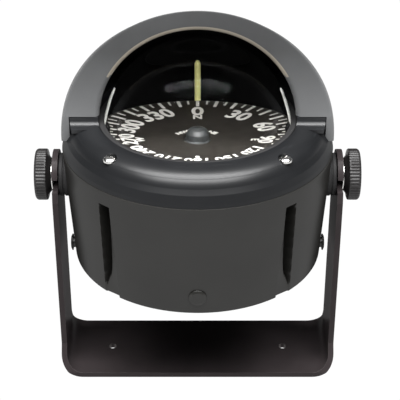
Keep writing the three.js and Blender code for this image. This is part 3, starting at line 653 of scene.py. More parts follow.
def bracket():
    """One strip bent into a U; a side outline narrows its arms, and its rounded edges get a
    lighter colour, a painted highlight.
    """
    half = bracket_high[0]
    inner = half - BRACKET_PLATE
    bend_x = half - BRACKET_BEND
    top = bracket_high[2]
    inside = BRACKET_BEND - BRACKET_PLATE
    outline = [(-half, top)]
    outline += arc(-bend_x, BRACKET_BEND, BRACKET_BEND, 180, 270, 14)
    outline += arc(bend_x, BRACKET_BEND, BRACKET_BEND, 270, 360, 14)
    outline += [(half, top), (inner, top)]
    outline += arc(bend_x, BRACKET_BEND, inside, 360, 270, 14)
    outline += arc(-bend_x, BRACKET_BEND, inside, 270, 180, 14)
    outline += [(-inner, top)]
    deep = bracket_high[1]
    strip = prism("bracket_body", outline, -deep, deep, "xzy")

    narrow = ARM_HALF_WIDTH
    reach = hypot(narrow, ARM_TAPER_BELOW)
    corner = degrees(atan2(-ARM_TAPER_BELOW, narrow))
    touch = corner + degrees(acos(ARM_TOP_RADIUS / reach))
    side = [(-deep, -1), (deep, -1), (deep, BRACKET_PLATE)]
    side += [(narrow, ARM_SHOULDER_Z), (narrow, PIVOT_Z - ARM_TAPER_BELOW)]
    side += arc(0, PIVOT_Z, ARM_TOP_RADIUS, touch, 180 - touch, 28)
    side += [(-narrow, PIVOT_Z - ARM_TAPER_BELOW), (-narrow, ARM_SHOULDER_Z)]
    side += [(-deep, BRACKET_PLATE)]
    arms = prism("arms", side, -half - 1, half + 1, "yzx")
    cut(strip, arms, operation="INTERSECT")

    slot_half = ARM_SLOT_HEIGHT / 2
    slot = arc(0, PIVOT_Z, slot_half, -90, 90, 16)
    slot = [(-deep - 5, PIVOT_Z - slot_half)] + slot + [(-deep - 5, PIVOT_Z + slot_half)]
    tools = [prism("slot", slot, -half - 1, half + 1, "yzx")]
    for x in (-BASE_HOLE_X, BASE_HOLE_X):
        tools.append(moved(rod("hole", BASE_HOLE_RADIUS, -1, BRACKET_PLATE + 1), shift(x)))
    cut(strip, *tools)
    bevel(strip, 0.55, 3, 40, True)
    finish(strip, bracket_paint, "bracket", "bracket_paint", "bracket")
    # The rounded front and back edges take the second material, a painted highlight.
    strip.data.materials.append(bracket_edge_highlight)
    for face in strip.data.polygons:
        shoulder = abs(face.normal.x) < 0.02 and face.center.z > (BRACKET_PLATE + 0.5) * MM
        if 0.1 < abs(face.normal.y) < 0.95 and not shoulder:
            face.material_index = 1


# ---- clamps ----
def knurled(name, profile):
    """A turned piece whose (radius, z, knurl depth) points carry a rounded knurl."""
    count = KNURL_TEETH * KNURL_STEPS
    verts = []
    for k in range(count):
        angle = 2 * pi * k / count
        wave = (0.5 - 0.5 * cos(KNURL_TEETH * angle)) ** 0.7
        for r, z, depth in profile:
            radius = r - depth * (1 - wave)
            verts.append((radius * cos(angle), radius * sin(angle), z))
    return make(name, verts, grid(count, len(profile), False), 40)


def knob(side):
    """Knurled hand knob; its hub narrows towards the bracket and its outer face is dished."""
    r = KNOB_RADIUS
    x0, x1 = knob_low[0], knob_high[0]
    grip_start = x0 + 1.9
    depth = KNURL_DEPTH
    profile = [
        (5.2, x0, 0), (8.7, x0, 0), (9.0, x0 + 0.25, 0), (10.8, grip_start - 0.2, 0),
        (13.0, grip_start, 0), (13.5, grip_start + 0.2, 0.1), (r, grip_start + 0.7, depth),
    ]
    for k in range(1, 8):
        profile.append((r, grip_start + 0.7 + (x1 - grip_start - 1.9) * k / 8, depth))
    profile += [
        (r, x1 - 1.2, depth), (r - 0.35, x1 - 0.45, depth * 0.6), (r - 0.95, x1, 0),
        (10.4, x1, 0), (9.9, x1 - 0.25, 0), (9.3, x1 - 1.0, 0), (8.6, x1 - 1.15, 0),
        (6.6, x1 - 1.15, 0), (6.2, x1 - 0.9, 0), (5.9, x1 - 0.75, 0), (5.2, x1 - 0.75, 0),
        (4.95, x1 - 1.0, 0), (4.9, x1 - 1.7, 0), (4.9, x0 + 0.3, 0), (5.2, x0, 0),
    ]
    return knurled("knob_body_" + side, profile)


def insert_and_stud(side):
    """The knob's brass insert, and the stud with a real helical thread that it runs on."""
    start, end = stud_low[0], stud_high[0]
    insert = turned("insert_body_" + side, [
        (3.2, washer_high[0] + 0.6, 0.2), (4.7, washer_high[0] + 0.6, 0.3),
        (4.7, end, 0.35), (3.2, end, 0.3),
    ], 48)
    steps = 28
    rows = int((end - start) / THREAD_PITCH * THREAD_ROWS)
    verts, faces = [], []
    for j in range(rows + 1):
        along = start + (end - start) * j / rows
        taper = min(1, (end - along) / 0.8)
        for k in range(steps):
            phase = (along / THREAD_PITCH - k / steps) % 1
            ridge = abs(2 * phase - 1)
            radius = STUD_RADIUS - THREAD_DEPTH * ridge - STUD_TIP * (1 - taper)
            angle = 2 * pi * k / steps
            verts.append((radius * cos(angle), radius * sin(angle), along))
    for j in range(rows):
        for k in range(steps):
            a, b = j * steps + k, j * steps + (k + 1) % steps
            faces.append((a, b, b + steps, a + steps))
    faces.append(tuple(range(steps)))
    faces.append(tuple(rows * steps + k for k in range(steps)))
    stud = make("stud_body_" + side, verts, faces, 60)
    return insert, stud


def clamp(side):
    """Knob, insert, stud and the two washers, made along +X and mirrored for the left."""
    place = shift(z=PIVOT_Z) @ turn(90, "Y")
    if side == "left":
        place = Matrix.Diagonal((-1, 1, 1, 1)) @ place
    grip = knob(side)
    insert, stud = insert_and_stud(side)
    x0, x1 = washer_low[0], washer_high[0]
    washer = turned("washer_body_" + side, [
        (3.3, x0, 0.15), (8, x0, 0.3), (8, x1, 0.3), (3.3, x1, 0.15),
    ], 64)
    x0, x1 = friction_low[0], friction_high[0]
    middle = (x0 + x1) / 2
    disc = turned("friction_body_" + side, [
        (3.3, x0, 0.2), (11.5, x0, 0.5), (11.5, middle - 0.5, 0.2), (11.0, middle - 0.2, 0.2),
        (11.0, middle + 0.2, 0.2), (11.5, middle + 0.5, 0.2), (11.5, x1, 0.5), (3.3, x1, 0.2),
    ], 72)
    for piece, sharp, material, body, slot, node in (
        (grip, 40, knob_plastic, "knob_" + side, "knob_plastic", "knob_"),
        (insert, SHARP, brass, "knob_" + side, "brass", "knob_insert_"),
        (stud, 60, stainless, "compass", "stainless", "pivot_stud_"),
        (washer, SHARP, stainless, "clamp_" + side, "stainless", "clamp_washer_"),
        (disc, SHARP, rubber, "compass", "rubber", "friction_washer_"),
    ):
        tidy(moved(piece, place), sharp)
        finish(piece, material, body, slot, node + side)


# ---- case ----
def case_radius(z):
    share = (z - CASE_BOTTOM) / (CASE_TOP - CASE_BOTTOM)
    return CASE_BOTTOM_RADIUS + (CASE_TOP_RADIUS - CASE_BOTTOM_RADIUS) * share


def smooth(value, low, high):
    t = min(1, max(0, (value - low) / (high - low)))
    return t * t * (3 - 2 * t)


def flute_depth(azimuth, z):
    """How far the flute's floor lies inside the case's surface, in millimetres.

    From the panel a shallow shelf runs to a deep pocket under the wing's steep wall; the
    pocket takes the flute's whole width at its top and closes just above its foot.
    """
    down = (FLUTE_TOP - z) / (FLUTE_TOP - CASE_BOTTOM)
    if down <= 0:
        return 0
    panel = PANEL_AZIMUTH - 1.2 * down
    wing = WING_AZIMUTH + 1.6 * down
    if not panel < azimuth < wing + 0.4:
        return 0
    share = (1 - 0.72 * down ** 1.2) * (1 - smooth(down, 0.7, 0.96))
    pocket = wing - share * (wing - panel)
    across = (azimuth - panel) / (wing - panel)
    shelf = SHELF_DEPTH * across * (1 - down ** 2)
    shelf += 1.4 * down ** 3 * smooth(azimuth, panel, panel + 0.5) * (1 - 0.75 * across ** 2)
    deep = POCKET_DEPTH * smooth(azimuth, pocket, pocket + 0.9)
    deep *= 1 - 0.5 * smooth(down, 0.6, 0.93)
    wall = 1 - smooth(azimuth, wing - 0.1, wing + 0.3)
    entry = smooth(down, 0, 0.012)
    return max(shelf, deep if share > 0.01 else 0) * wall * entry


def case_surface(azimuth, z):
    """Radius of the outer surface; azimuth in degrees, 0 at the front and 90 at a knob."""
    fold = abs((azimuth + 180) % 360 - 180)
    fold = 180 - fold if fold > 90 else fold
    radius = case_radius(z) - flute_depth(fold, z)
    flat = SPOTFACE_X / max(sin(radians(fold)), 0.2)
    beside = radius * cos(radians(fold))
    if fold > 60 and hypot(beside, z - PIVOT_Z) < SPOTFACE_RADIUS:
        radius = min(radius, flat)
    return radius


def azimuth_samples():
    """Azimuths round the case, close together across the flutes."""
    quarter = list(np.arange(0, 34, 1.5)) + list(np.arange(34, 47, 0.2))
    quarter += list(np.arange(47, 78, 1.4)) + list(np.arange(78, 90, 0.6))
    half = quarter + [90] + [180 - a for a in reversed(quarter)]
    return half + [360 - a for a in reversed(half)][1:-1]


def case_body():
    """Tapered and fluted wall, hollow, with a recess for the cover and a rounded foot."""
    azimuths = azimuth_samples()
    foot = CASE_BOTTOM + CASE_FOOT
    heights = [foot + k * CASE_ROW for k in range(1, int((CASE_TOP - CASE_BOTTOM - 2) / CASE_ROW))]
    heights += [FLUTE_TOP + lift for lift in (-1.0, -0.5, -0.06, 0.06)]
    heights = sorted(heights + [CASE_TOP - 0.4])
    rim = case_radius(CASE_TOP)
    verts = []
    for azimuth in azimuths:
        angle = radians(azimuth)
        line = [
            (CASE_INNER, CASE_TOP), (CASE_INNER, RECESS_Z + 0.5), (CASE_INNER + 0.2, RECESS_Z),
            (RECESS_RADIUS - 0.6, RECESS_Z), (RECESS_RADIUS - 0.3, RECESS_Z - 0.3),
            (RECESS_RADIUS, cover_high[2] + 0.1), (RECESS_RADIUS, CASE_BOTTOM + 0.5),
            (RECESS_RADIUS + 0.3, CASE_BOTTOM),
        ]
        line += arc(case_surface(azimuth, foot) - CASE_FOOT, foot, CASE_FOOT, -90, 0, 5)
        line += [(case_surface(azimuth, z), z) for z in heights]
        line += [(rim - 0.12, CASE_TOP - 0.12), (rim - 0.4, CASE_TOP)]
        verts += [(r * sin(angle), -r * cos(angle), z) for r, z in line]
    body = make("case_body", verts, grid(len(azimuths), len(line), True), 42)
    finish(body, case_plastic, "compass", "case_plastic", "case")


def plug_cap(name, surface, height, y, heading):
    """Push-in plug over the end of an adjuster; heading is the azimuth it faces."""
    r = 4.5
    face = surface + 0.35
    cap = turned(name, [
        (0, surface - 3, 0), (2.9, surface - 3, 0), (2.9, face, 0.1), (r, face, 0.2),
        (r, face + 0.5, 0.4), (3.2, face + 1.1, 1.2), (0, face + 1.35, 0),
    ], 64, False)
    tidy(moved(cap, shift(y=y, z=height) @ turn(heading, "Z") @ turn(90, "X")))
    return cap


def plugs():
    for name, heading in (("front", 0), ("right", 90), ("rear", 180), ("left", 270)):
        node = "compensator_plug_" + name
        low, high = span(node)
        height = (low[2] + high[2]) / 2
        y = (low[1] + high[1]) / 2 if name in ("left", "right") else 0
        cap = plug_cap("plug_cap_" + name, case_radius(height), height, y, heading)
        finish(cap, case_plastic, "compass", "case_plastic", node)


# ---- bezel ----
def bezel_crown():
    """Outline of the bezel's top from its rim inwards; the tilt grows smoothly outwards."""
    radii = (54, 57, 59, 61, 63, 64.7, 66, 66.8)
    tilts = (0, 7, 15, 24, 35, 48, 60, 66)
    line = [(radii[0], BEZEL_TOP)]
    for r in np.linspace(radii[0], radii[-1], 60)[1:]:
        middle = (r + line[-1][0]) / 2
        fall = tan(radians(np.interp(middle, radii, tilts)))
        line.append((float(r), line[-1][1] - fall * (r - line[-1][0])))
    return reversed(line)


def bezel_body():
    """Ring over the case with a crowned top; its raised rear half seats the hood."""
    body = turned("bezel_body", [
        (BEZEL_INNER, BEZEL_BOTTOM, 0.2), (BEZEL_RADIUS, BEZEL_BOTTOM, 0.12),
        (BEZEL_RADIUS - 0.7, BEZEL_BOTTOM + 2.1, 2), (BEZEL_RADIUS - 2.2, BEZEL_BOTTOM + 5.9, 3),
        *[(r, z, 0) for r, z in bezel_crown()],
        (BEZEL_OPENING + 0.3, BEZEL_TOP, 0.9), (BEZEL_OPENING, BEZEL_TOP - 1.2, 0.5),
        (BEZEL_OPENING, LIP_Z, 0), (BEZEL_LEDGE, LIP_Z, 0.4),
        (BEZEL_LEDGE, SCREW_SEAT, 0), (BEZEL_INNER, SCREW_SEAT, 0.3),
    ], 220, True, 7)
    rebate = turned("rebate", [
        (SEAT_RADIUS, REBATE_Z, 0.4), (BEYOND, REBATE_Z, 0), (BEYOND, OVER, 0),
        (SEAT_RADIUS, OVER, 0),
    ], 160)
    side = BEYOND + 10
    behind = block("behind", (-side, HOOD_FRONT - 0.3, REBATE_Z - 2), (side, side, OVER + 5))
    cut(rebate, behind, operation="INTERSECT")
    cut(body, rebate)

    foot = HOOD_FRONT - SEAT_FILLET
    low = BEZEL_TOP - 2.6
    outline = [(80, low), (80, SEAT_Z), (HOOD_FRONT + 0.35, SEAT_Z)]
    outline += [(HOOD_FRONT + 0.1, SEAT_Z - 0.1), (HOOD_FRONT, SEAT_Z - 0.35)]
    outline += arc(foot, BEZEL_TOP + SEAT_FILLET - 0.45, SEAT_FILLET, 0, -90, 14)
    outline += [(foot - 3, BEZEL_TOP - 0.46), (foot - 3, low)]
    seat = prism("seat", outline, -75, 75, "yzx")
    ring = turned("seat_ring", [
        (BEZEL_OPENING, low + 0.2, 0), (SEAT_RADIUS, low + 0.2, 0),
        (SEAT_RADIUS, OVER + 10, 0), (BEZEL_OPENING, OVER + 10, 0),
    ], 220)
    cut(seat, ring, operation="INTERSECT")
    cut(body, seat, operation="UNION")
    sinks = []
    for azimuth in SCREW_AZIMUTHS:
        sink = rod("sink", SINK_RADIUS, SCREW_SEAT + 0.1, SEAT_Z + 3, 48)
        sinks.append(moved(sink, at_azimuth(azimuth, SCREW_CIRCLE)))
    cut(body, *sinks)
    bevel(body, 0.22, 2, 46)
    finish(body, bezel_plastic, "compass", "case_plastic", "bezel")


def bezel_screw(number, azimuth):
    """Machine screw in its sink, with a domed, slotted head."""
    head, shank = 3.3, 1.9
    slot = head * 0.82
    top = SCREW_SEAT + 0.1
    item = turned(f"bezel_screw_head_{number}", [
        (0, top - 6, 0), (shank, top - 6, 0.3), (shank, top - 0.05, 0), (head, top, 0.15),
        (head, top + 1.15, 0.7), (head * 0.62, top + 2.0, 1.2), (0, top + 2.25, 0),
    ], 48, False, 5)
    tool = block("slot", (-slot, -0.42, top + 1.25), (slot, 0.42, top + 4))
    cut(item, moved(tool, turn(24, "Z")))
    bevel(item, 0.09, 1, 50)
    tidy(moved(item, at_azimuth(azimuth, SCREW_CIRCLE) @ turn(azimuth, "Z")))
    finish(item, stainless, "compass", "stainless", f"bezel_screw_{number}")


def cover_screw(number, azimuth):
    """Countersunk screw standing upside down in the bottom cover."""
    node = f"cover_screw_{number}"
    seat = span(node)[0][2] + 2.4
    item = turned(f"cover_screw_head_{number}", [
        (0, -6, 0), (1.5, -6, 0.3), (1.5, 0, 0), (2.8, 1.3, 0.15), (2.75, 1.6, 0.2),
        (1.4, 2.2, 0.8), (0, 2.3, 0),
    ], 40, False, 4)
    cut(item, block("slot", (-2.3, -0.35, 1.5), (2.3, 0.35, 4)))
    bevel(item, 0.08, 1, 50)
    place = at_azimuth(azimuth, COVER_SCREW_CIRCLE) @ shift(z=seat) @ turn(180, "X")
    tidy(moved(item, place @ turn(31 * (number - 1), "Z")))
    finish(item, stainless, "compass", "stainless", node)


def screws():
    for number, azimuth in enumerate(SCREW_AZIMUTHS, 1):
        bezel_screw(number, azimuth)
    for number, azimuth in enumerate(COVER_SCREW_AZIMUTHS, 1):
        cover_screw(number, azimuth)


# ---- hood ----
HALF_ARCH = 48  # points from a foot of the arch to its top
LEG_STEPS = 9
LEDGE_STEPS = 5
OUTER_RINGS = 44
EDGE_RINGS = 6
FACE_RINGS = 4
INNER_RINGS = 30
OUTER_LEDGE = 0.06  # radians just above the seam with closer points
LAST_RINGS = 10  # the closing face under the hood takes at least this many


def hood_slice(y, radius, height, tail):
    """Half-width and height of the hood's arch at y, for a shell that is radius deep."""
    width = sqrt(max(radius ** 2 - y ** 2, 0))
    share = min(1, max(0, (radius - y) / (radius - HOOD_FRONT)))
    return width, tail + (height - tail) * share ** HOOD_FALL


def steps_up(start, end, count):
    """Values from start up to just before end."""
    return [start + (end - start) * k / count for k in range(count)]


def to_top(start):
    """Angles from start up to just before the top of the arch."""
    return steps_up(start, pi / 2, HALF_ARCH)


def mirrored(right, y, top):
    """A whole ring from its right half and its top."""
    return right + [(0, y, top)] + [(-x, q, z) for x, q, z in reversed(right)]


def outer_ring(y, inset=0.0):
    """Points across the hood's outside at y, from the right foot over the top to the left foot."""
    width, tall = hood_slice(y, HOOD_BACK, HOOD_TOP - HOOD_BASE, HOOD_TAIL)
    width, tall = max(width - inset, 0), tall - inset
    leg = asin(min(1, (HOOD_SEAM - HOOD_BASE) / tall)) if tall > 0 else 0
    angles = steps_up(0, leg, LEG_STEPS) + steps_up(leg, leg + OUTER_LEDGE, LEDGE_STEPS)
    angles += to_top(leg + OUTER_LEDGE)
    right = [(width * cos(a), y, HOOD_BASE + tall * sin(a)) for a in angles]
    return mirrored(right, y, HOOD_BASE + tall)


def seamed_ring(y, wall, wide, tall, centre):
    """Up the leg, in along the seam, and over an arch whose centre is at that height."""
    start = asin((HOOD_SEAM - centre) / tall)
    right = [(wall, y, z) for z in steps_up(HOOD_BASE, HOOD_SEAM, LEG_STEPS)]
    right += [(x, y, HOOD_SEAM) for x in steps_up(wall, wide * cos(start), LEDGE_STEPS)]
    right += [(wide * cos(a), y, centre + tall * sin(a)) for a in to_top(start)]
    return mirrored(right, y, centre + tall)


def arch_ring(y, radius):
    """Points round the opening at y."""
    wall = sqrt(HOOD_SKIRT_INNER ** 2 - y ** 2)
    return seamed_ring(y, wall, radius, radius, HOOD_ARCH_Z)


def inner_ring(y):
    """Points across the hood's inside at y."""
    front = HOOD_TOP - HOOD_BASE - HOOD_CROWN_WALL
    width, tall = hood_slice(y, HOOD_SKIRT_INNER, front, HOOD_TAIL - HOOD_CROWN_WALL)
    tall = max(tall, HOOD_SEAM - HOOD_BASE + 0.2)
    return seamed_ring(y, width, width, tall, HOOD_BASE)


def lean_back(point):
    """The front face leans back a little above the seam."""
    x, y, z = point
    reach = max(0, 1 - (y - HOOD_FRONT) / HOOD_PLATE)
    lean = HOOD_LEAN * (1 - exp(-max(0, z - HOOD_SEAM) / 15))
    return x, y + lean * reach, z


def hood_rings():
    """Rings over the hood's outside from back to front, across its face, and back inside."""
    rings = []
    swing = asin((HOOD_FRONT + OUTER_EDGE) / HOOD_BACK)
    for angle in np.linspace(pi / 2, swing, OUTER_RINGS):
        rings.append(outer_ring(HOOD_BACK * sin(angle)))
    for k in range(1, EDGE_RINGS + 1):
        a = radians(90 * k / EDGE_RINGS)
        y = HOOD_FRONT + OUTER_EDGE * (1 - sin(a))
        rings.append(outer_ring(y, OUTER_EDGE * (1 - cos(a))))
    face_out = rings[-1]
    face_in = arch_ring(HOOD_FRONT, HOOD_ARCH + ARCH_EDGE)
    for k in range(1, FACE_RINGS):
        share = k / FACE_RINGS
        rings.append([tuple(Vector(a).lerp(Vector(b), share)) for a, b in zip(face_out, face_in)])
    for k in range(EDGE_RINGS + 1):
        a = radians(90 * k / EDGE_RINGS)
        y = HOOD_FRONT + ARCH_EDGE * (1 - cos(a))
        rings.append(arch_ring(y, HOOD_ARCH + ARCH_EDGE * (1 - sin(a))))
    rings.append(arch_ring(PLATE_BACK, HOOD_ARCH))
    swing = asin(PLATE_BACK / HOOD_SKIRT_INNER)
    for angle in np.linspace(swing, pi / 2, INNER_RINGS):
        rings.append(inner_ring(HOOD_SKIRT_INNER * sin(angle)))
    return rings


def foot_faces(line, front):
    """Faces under the hood, between the outer and the inner end of its rings."""
    faces = []
    outer, inner = 0, len(line) - 1
    while outer < front - 1 and inner > front + LAST_RINGS:
        faces.append((line[outer], line[outer + 1], line[inner]))
        faces.append((line[outer + 1], line[inner - 1], line[inner]))
        outer += 1
        inner -= 1
    faces.append(tuple(line[outer:inner + 1]))
    return faces


def hood_body():
    rings = hood_rings()
    verts = [lean_back(point) for ring in rings for point in ring]
    count = len(rings[0])
    faces = []
    for j in range(len(rings) - 1):
        a, b = j * count, (j + 1) * count
        faces += [(a + i, a + i + 1, b + i + 1, b + i) for i in range(count - 1)]
    for end in (0, count - 1):
        faces += foot_faces([j * count + end for j in range(len(rings))], OUTER_RINGS + EDGE_RINGS)
    body = make("hood_body", verts, faces, 40)
    bevel(body, 0.25, 2, 50)
    finish(body, hood_plastic, "hood", "case_plastic", "hood")
    body.data.materials.append(hood_painted_shade)
    body.data.materials.append(hood_rim_highlight)
    for face in body.data.polygons:
        x, y, z = face.center / MM
        inward = face.normal.dot(Vector((x, y, z - HOOD_BASE)).normalized()) < -0.25
        # Faces inside the hood, behind its face plate, take the near-black painted shade.
        if inward and y > PLATE_BACK - 0.1:
            face.material_index = 1
        # Faces round the top of the opening take the pale painted highlight.
        across = hypot(x, z - HOOD_ARCH_Z)
        if z > RIM_HIGHLIGHT_BOTTOM and across < HOOD_ARCH + 2.4 and y < PLATE_BACK + 2:
            face.material_index = 2


# ---- dome, bowl and seals ----
def latitude(z, radius):
    """Where a height lies on a sphere about the gimbal's centre, in degrees."""
    return degrees(asin((z - SPHERE_Z) / radius))


def sphere_line(radius, low, high, steps):
    """Outline of a sphere about the gimbal's centre, between two latitudes."""
    return arc(0, SPHERE_Z, radius, low, high, steps)


def lens():
    """The dome and the liquid in it, as one clear solid that reaches into the bowl's wall."""
    low, high = dome_low[2] + 0.1, dome_low[2] + 2
    edge = FLANGE_RADIUS - 0.2
    line = sphere_line(DOME_RADIUS, 90, latitude(high, DOME_RADIUS), 40)
    line += [(edge, high), (edge, low)]
    inner = BOWL_INNER + 1.1
    line += sphere_line(inner, latitude(low, inner), -90, 50)
    obj = make("dome_lens", *lathe(line, 160, False), 30)
    finish(obj, clear_dome, "compass", "clear_dome", "dome")


def bowl_body():
    """Lower half of the liquid's chamber, with a boss for the diaphragm and a flange on top."""
    top = bowl_high[2] - 0.05
    boss = bowl_low[2] + 0.1
    line = sphere_line(BOWL_INNER, latitude(top - 0.25, BOWL_INNER), -72, 40)
    line += [(BOSS_BORE, boss), (BOSS_RADIUS, boss), (BOSS_RADIUS, boss + 0.9)]
    line += sphere_line(BOWL_INNER + BOWL_WALL, -60.9, -1, 30)
    line += [(FLANGE_RADIUS, top - 1.9), (FLANGE_RADIUS, top), (BOWL_INNER + 0.3, top)]
    body = make("bowl_body", *lathe(line, 96, True), 30)
    finish(body, inner_plastic, "compass", "inner_plastic", "bowl")


def dome_seal():
    low, high = span("dome_seal")
    edge = high[0] - 0.05
    seal = turned("dome_seal_ring", [
        (DOME_RADIUS + 0.05, low[2], 0), (edge, low[2], 0), (edge, high[2], 0.35),
        (edge - 0.95, high[2] + 0.2, 0.3), (DOME_RADIUS - 0.65, high[2] - 0.3, 0.3),
    ], 160)
    finish(seal, rubber, "compass", "rubber", "dome_seal")


def gimbal_ring():
    low, high = gimbal_low[2], gimbal_high[2]
    outer = gimbal_high[1]
    inner = outer - 2.8
    ring = turned("gimbal_ring_body", [
        (inner, low, 0.3), (outer, low, 0.3), (outer, high, 0.3), (inner, high, 0.3),
    ], 128)
    finish(ring, inner_plastic, "gimbal", "inner_plastic", "gimbal_ring")


# ---- card, posts and hub ----
CARD_FRAME = shift(z=CARD_Z) @ turn(-CARD_DIP, "X")


def dial_point(bearing, radius):
    """A place on the card, bearing in degrees clockwise from north (+Y)."""
    angle = radians(bearing)
    return radius * sin(angle), radius * cos(angle)


def dial_plate():
    plate = turned("dial_plate", [
        (CARD_BORE, -CARD_THICKNESS, 0), (CARD_RADIUS - 0.4, -CARD_THICKNESS, 0.2),
        (CARD_RADIUS, -0.4, 0.3), (CARD_RADIUS - 0.3, 0, 0.2), (30, 0, 0), (29.9, -0.03, 0),
        (20, -0.03, 0), (CARD_BORE, -0.03, 0),
    ], 144)
    tidy(moved(plate, CARD_FRAME))
    finish(plate, card_paint, "card", "card", "dial_card")


def tick(bearing, outer, inner, width):
    """Corners of a printed mark that points to the card's centre."""
    x0, y0 = dial_point(bearing, outer)
    x1, y1 = dial_point(bearing, inner)
    side = Vector((y0, -x0)).normalized() * width / 2
    flat = [(x0 + side.x, y0 + side.y), (x0 - side.x, y0 - side.y),
            (x1 - side.x, y1 - side.y), (x1 + side.x, y1 + side.y)]
    return [(x, y, z) for z in (0, PRINT_HEIGHT) for x, y in flat]


def ticks():
    verts, faces = [], []
    for bearing in range(0, 360, 5):
        length, width = SHORT_TICK if bearing % 10 else LONG_TICK
        start = len(verts)
        verts += tick(bearing, TICK_RADIUS, TICK_RADIUS - length, width)
        faces += [tuple(start + i for i in face) for face in (
            (0, 1, 2, 3), (7, 6, 5, 4), (0, 4, 5, 1), (1, 5, 6, 2), (2, 6, 7, 3), (3, 7, 4, 0),
        )]
    marks = make("dial_ticks", verts, faces)
    tidy(moved(marks, CARD_FRAME))
    finish(marks, white_print, "card", "card")


def lettering(text, size, bearing, radius, weight, stretch=1.0):
    """One raised printed word on the card, its top pointing away from the centre."""
    curve = bpy.data.curves.new(text, "FONT")
    curve.body = text
    curve.size = size * MM
    curve.align_x = "CENTER"
    curve.align_y = "CENTER"
    curve.offset = weight * MM
    curve.extrude = PRINT_HEIGHT / 2 * MM
    curve.resolution_u = 3
    word = placed(text, curve)
    bpy.context.view_layer.update()
    mesh = evaluated_mesh(word)
    bpy.data.objects.remove(word)
    x, y = dial_point(bearing, radius)
    place = shift(x, y, PRINT_HEIGHT / 2) @ turn(-bearing, "Z")
    place = place @ Matrix.Diagonal((stretch, 1, 1, 1))
    return moved(placed(text, mesh), CARD_FRAME @ place)


def numerals():
    words = [lettering(str(bearing), NUMERAL_SIZE, bearing, NUMERAL_RADIUS, 0.22, 0.93)
             for bearing in range(0, 360, 30)]
    finish(joined("dial_numerals", words), white_print, "card", "card")
    letters = [lettering(point, LETTER_SIZE, 90 * i, LETTER_RADIUS, 0.14)
               for i, point in enumerate("NESW")]
    letters += [lettering(point, SMALL_SIZE, bearing, 9.0, 0.1)
                for point, bearing in (("NE", 36), ("NW", -36))]
    finish(joined("dial_letters", letters), white_print, "card", "card")


def hub():
    cap = turned("hub_cap", [
        (2.4, -4, 0), (4.2, -4, 0.3), (4.2, -0.1, 0), (5.0, -0.1, 0), (5.0, 0.12, 0.1),
        (4.4, 0.3, 0.3), (4.3, 2.6, 1.2), (3.2, 4.2, 1.2), (1.4, 4.95, 1.2), (0, 5.0, 0),
        (0, 2.4, 0), (2.4, 2.4, 0.2),
    ], 80)
    tidy(moved(cap, CARD_FRAME))
    finish(cap, hub_plastic, "card", "inner_plastic", "card_hub")


def posts():
    for name in ("forward", "right", "left"):
        material, slot = lubber_white, "lubber_white"
        if name == "forward":
            material, slot = lubber_green, "lubber_green"
        node = "lubber_post_" + name
        low, high = span(node)
        x, y = (low[0] + high[0]) / 2, (low[1] + high[1]) / 2
        top = high[2] if name == "forward" else high[2] + SIDE_POST_EXTRA
        pin = turned("post_" + name, [
            (0, low[2], 0), (POST_RADIUS, low[2], 0), (POST_RADIUS, top - 0.9, 0.3),
            (0.5, top - 0.15, 0.3), (0, top, 0),
        ], 24, False)
        if name != "forward":
            moved(pin, Matrix.Diagonal((BLADE_WIDTH, BLADE_DEPTH, 1, 1)))
            x *= SIDE_POST_OUT
        tidy(moved(pin, shift(x, y)))
        finish(pin, material, "cradle", slot, node)


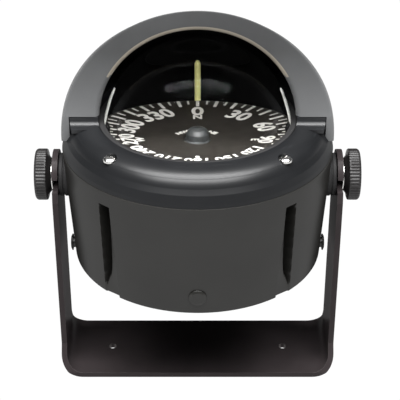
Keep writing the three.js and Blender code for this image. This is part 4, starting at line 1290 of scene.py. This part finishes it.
# ---- underside and night light ----
def underside():
    """The bottom cover with its holes, and the gland that a light's lead would go through."""
    low, high = cover_low[2], cover_high[2]
    sunk = low + 0.4
    edge = cover_high[0]
    plate = turned("cover_plate", [
        (0, sunk, 0), (20, sunk, 0.3), (20.6, low, 0.3), (52, low, 0.3), (52.6, sunk, 0.3),
        (54.4, sunk, 0.3), (55, low, 0.3), (edge, low, 0.5), (edge, high, 0.2), (0, high, 0),
    ], 144, False)
    tools = []
    for azimuth in COVER_SCREW_AZIMUTHS:
        place = at_azimuth(azimuth, COVER_SCREW_CIRCLE)
        hole = rod("hole", 1.8, low - 2, high + 1, 24)
        sink = rod("sink", 3.2, low - 2, low + 1.5, 32)
        tools += [moved(hole, place), moved(sink, place)]
    gland_low, gland_high = span("cable_gland")
    gland_y = (gland_low[1] + gland_high[1]) / 2
    tools.append(moved(rod("gland_hole", 4.4, low - 2, high + 1), shift(y=gland_y)))
    cut(plate, *tools)
    bevel(plate, 0.15, 1, 50)
    finish(plate, case_plastic, "compass", "case_plastic", "bottom_cover")

    bottom = gland_low[2]
    gland = turned("gland_body", [
        (2.3, bottom, 0.3), (4.9, bottom, 0.6), (5.3, bottom + 1.2, 0.3), (6.5, bottom + 1.6, 0.3),
        (6.5, low - 0.3, 0.3), (4.1, low - 0.3, 0), (4.1, gland_high[2], 0.3),
        (2.3, gland_high[2], 0.3),
    ], 72)
    tidy(moved(gland, shift(y=gland_y)))
    finish(gland, rubber, "compass", "rubber", "cable_gland")


def night_light():
    low, high = span("lamp_housing")
    shell = block("lamp_shell", low, high)
    window = block("window", (-5, low[1] - 1.5, low[2] + 1.3), (5, low[1] + 5, low[2] + 4.7))
    cut(shell, window)
    bevel(shell, 0.5, 3, 40)
    finish(shell, case_plastic, "compass", "case_plastic", "lamp_housing")
    glass = block("lamp_window", *span("lamp_lens"))
    bevel(glass, 0.6, 3, 40)
    finish(glass, lamp_green, "compass", "lamp_green", "lamp_lens")


def carried_over():
    """Materials for the CAD nodes that stay."""
    looks = {
        "bracket_paint": bracket_paint, "case_plastic": case_plastic, "knob_plastic": knob_plastic,
        "inner_plastic": inner_plastic, "card": card_paint, "lubber_green": lubber_green,
        "lubber_white": lubber_white, "clear_dome": clear_dome, "jewel": jewel,
        "lamp_green": lamp_green, "stainless": stainless, "brass": brass, "magnet": magnet_steel,
        "rubber": rubber,
    }
    slots = {entry["node"]: entry["material_slot"] for entry in frame["record"]["subparts"]}
    for name, obj in frame["nodes"].items():
        if obj.hide_render:
            continue
        obj.data.materials.clear()
        obj.data.materials.append(looks[slots.get(name, "inner_plastic")])


bracket()
for side_name in ("right", "left"):
    clamp(side_name)
case_body()
plugs()
bezel_body()
screws()
hood_body()
lens()
bowl_body()
dome_seal()
gimbal_ring()
dial_plate()
ticks()
numerals()
hub()
posts()
underside()
night_light()
carried_over()
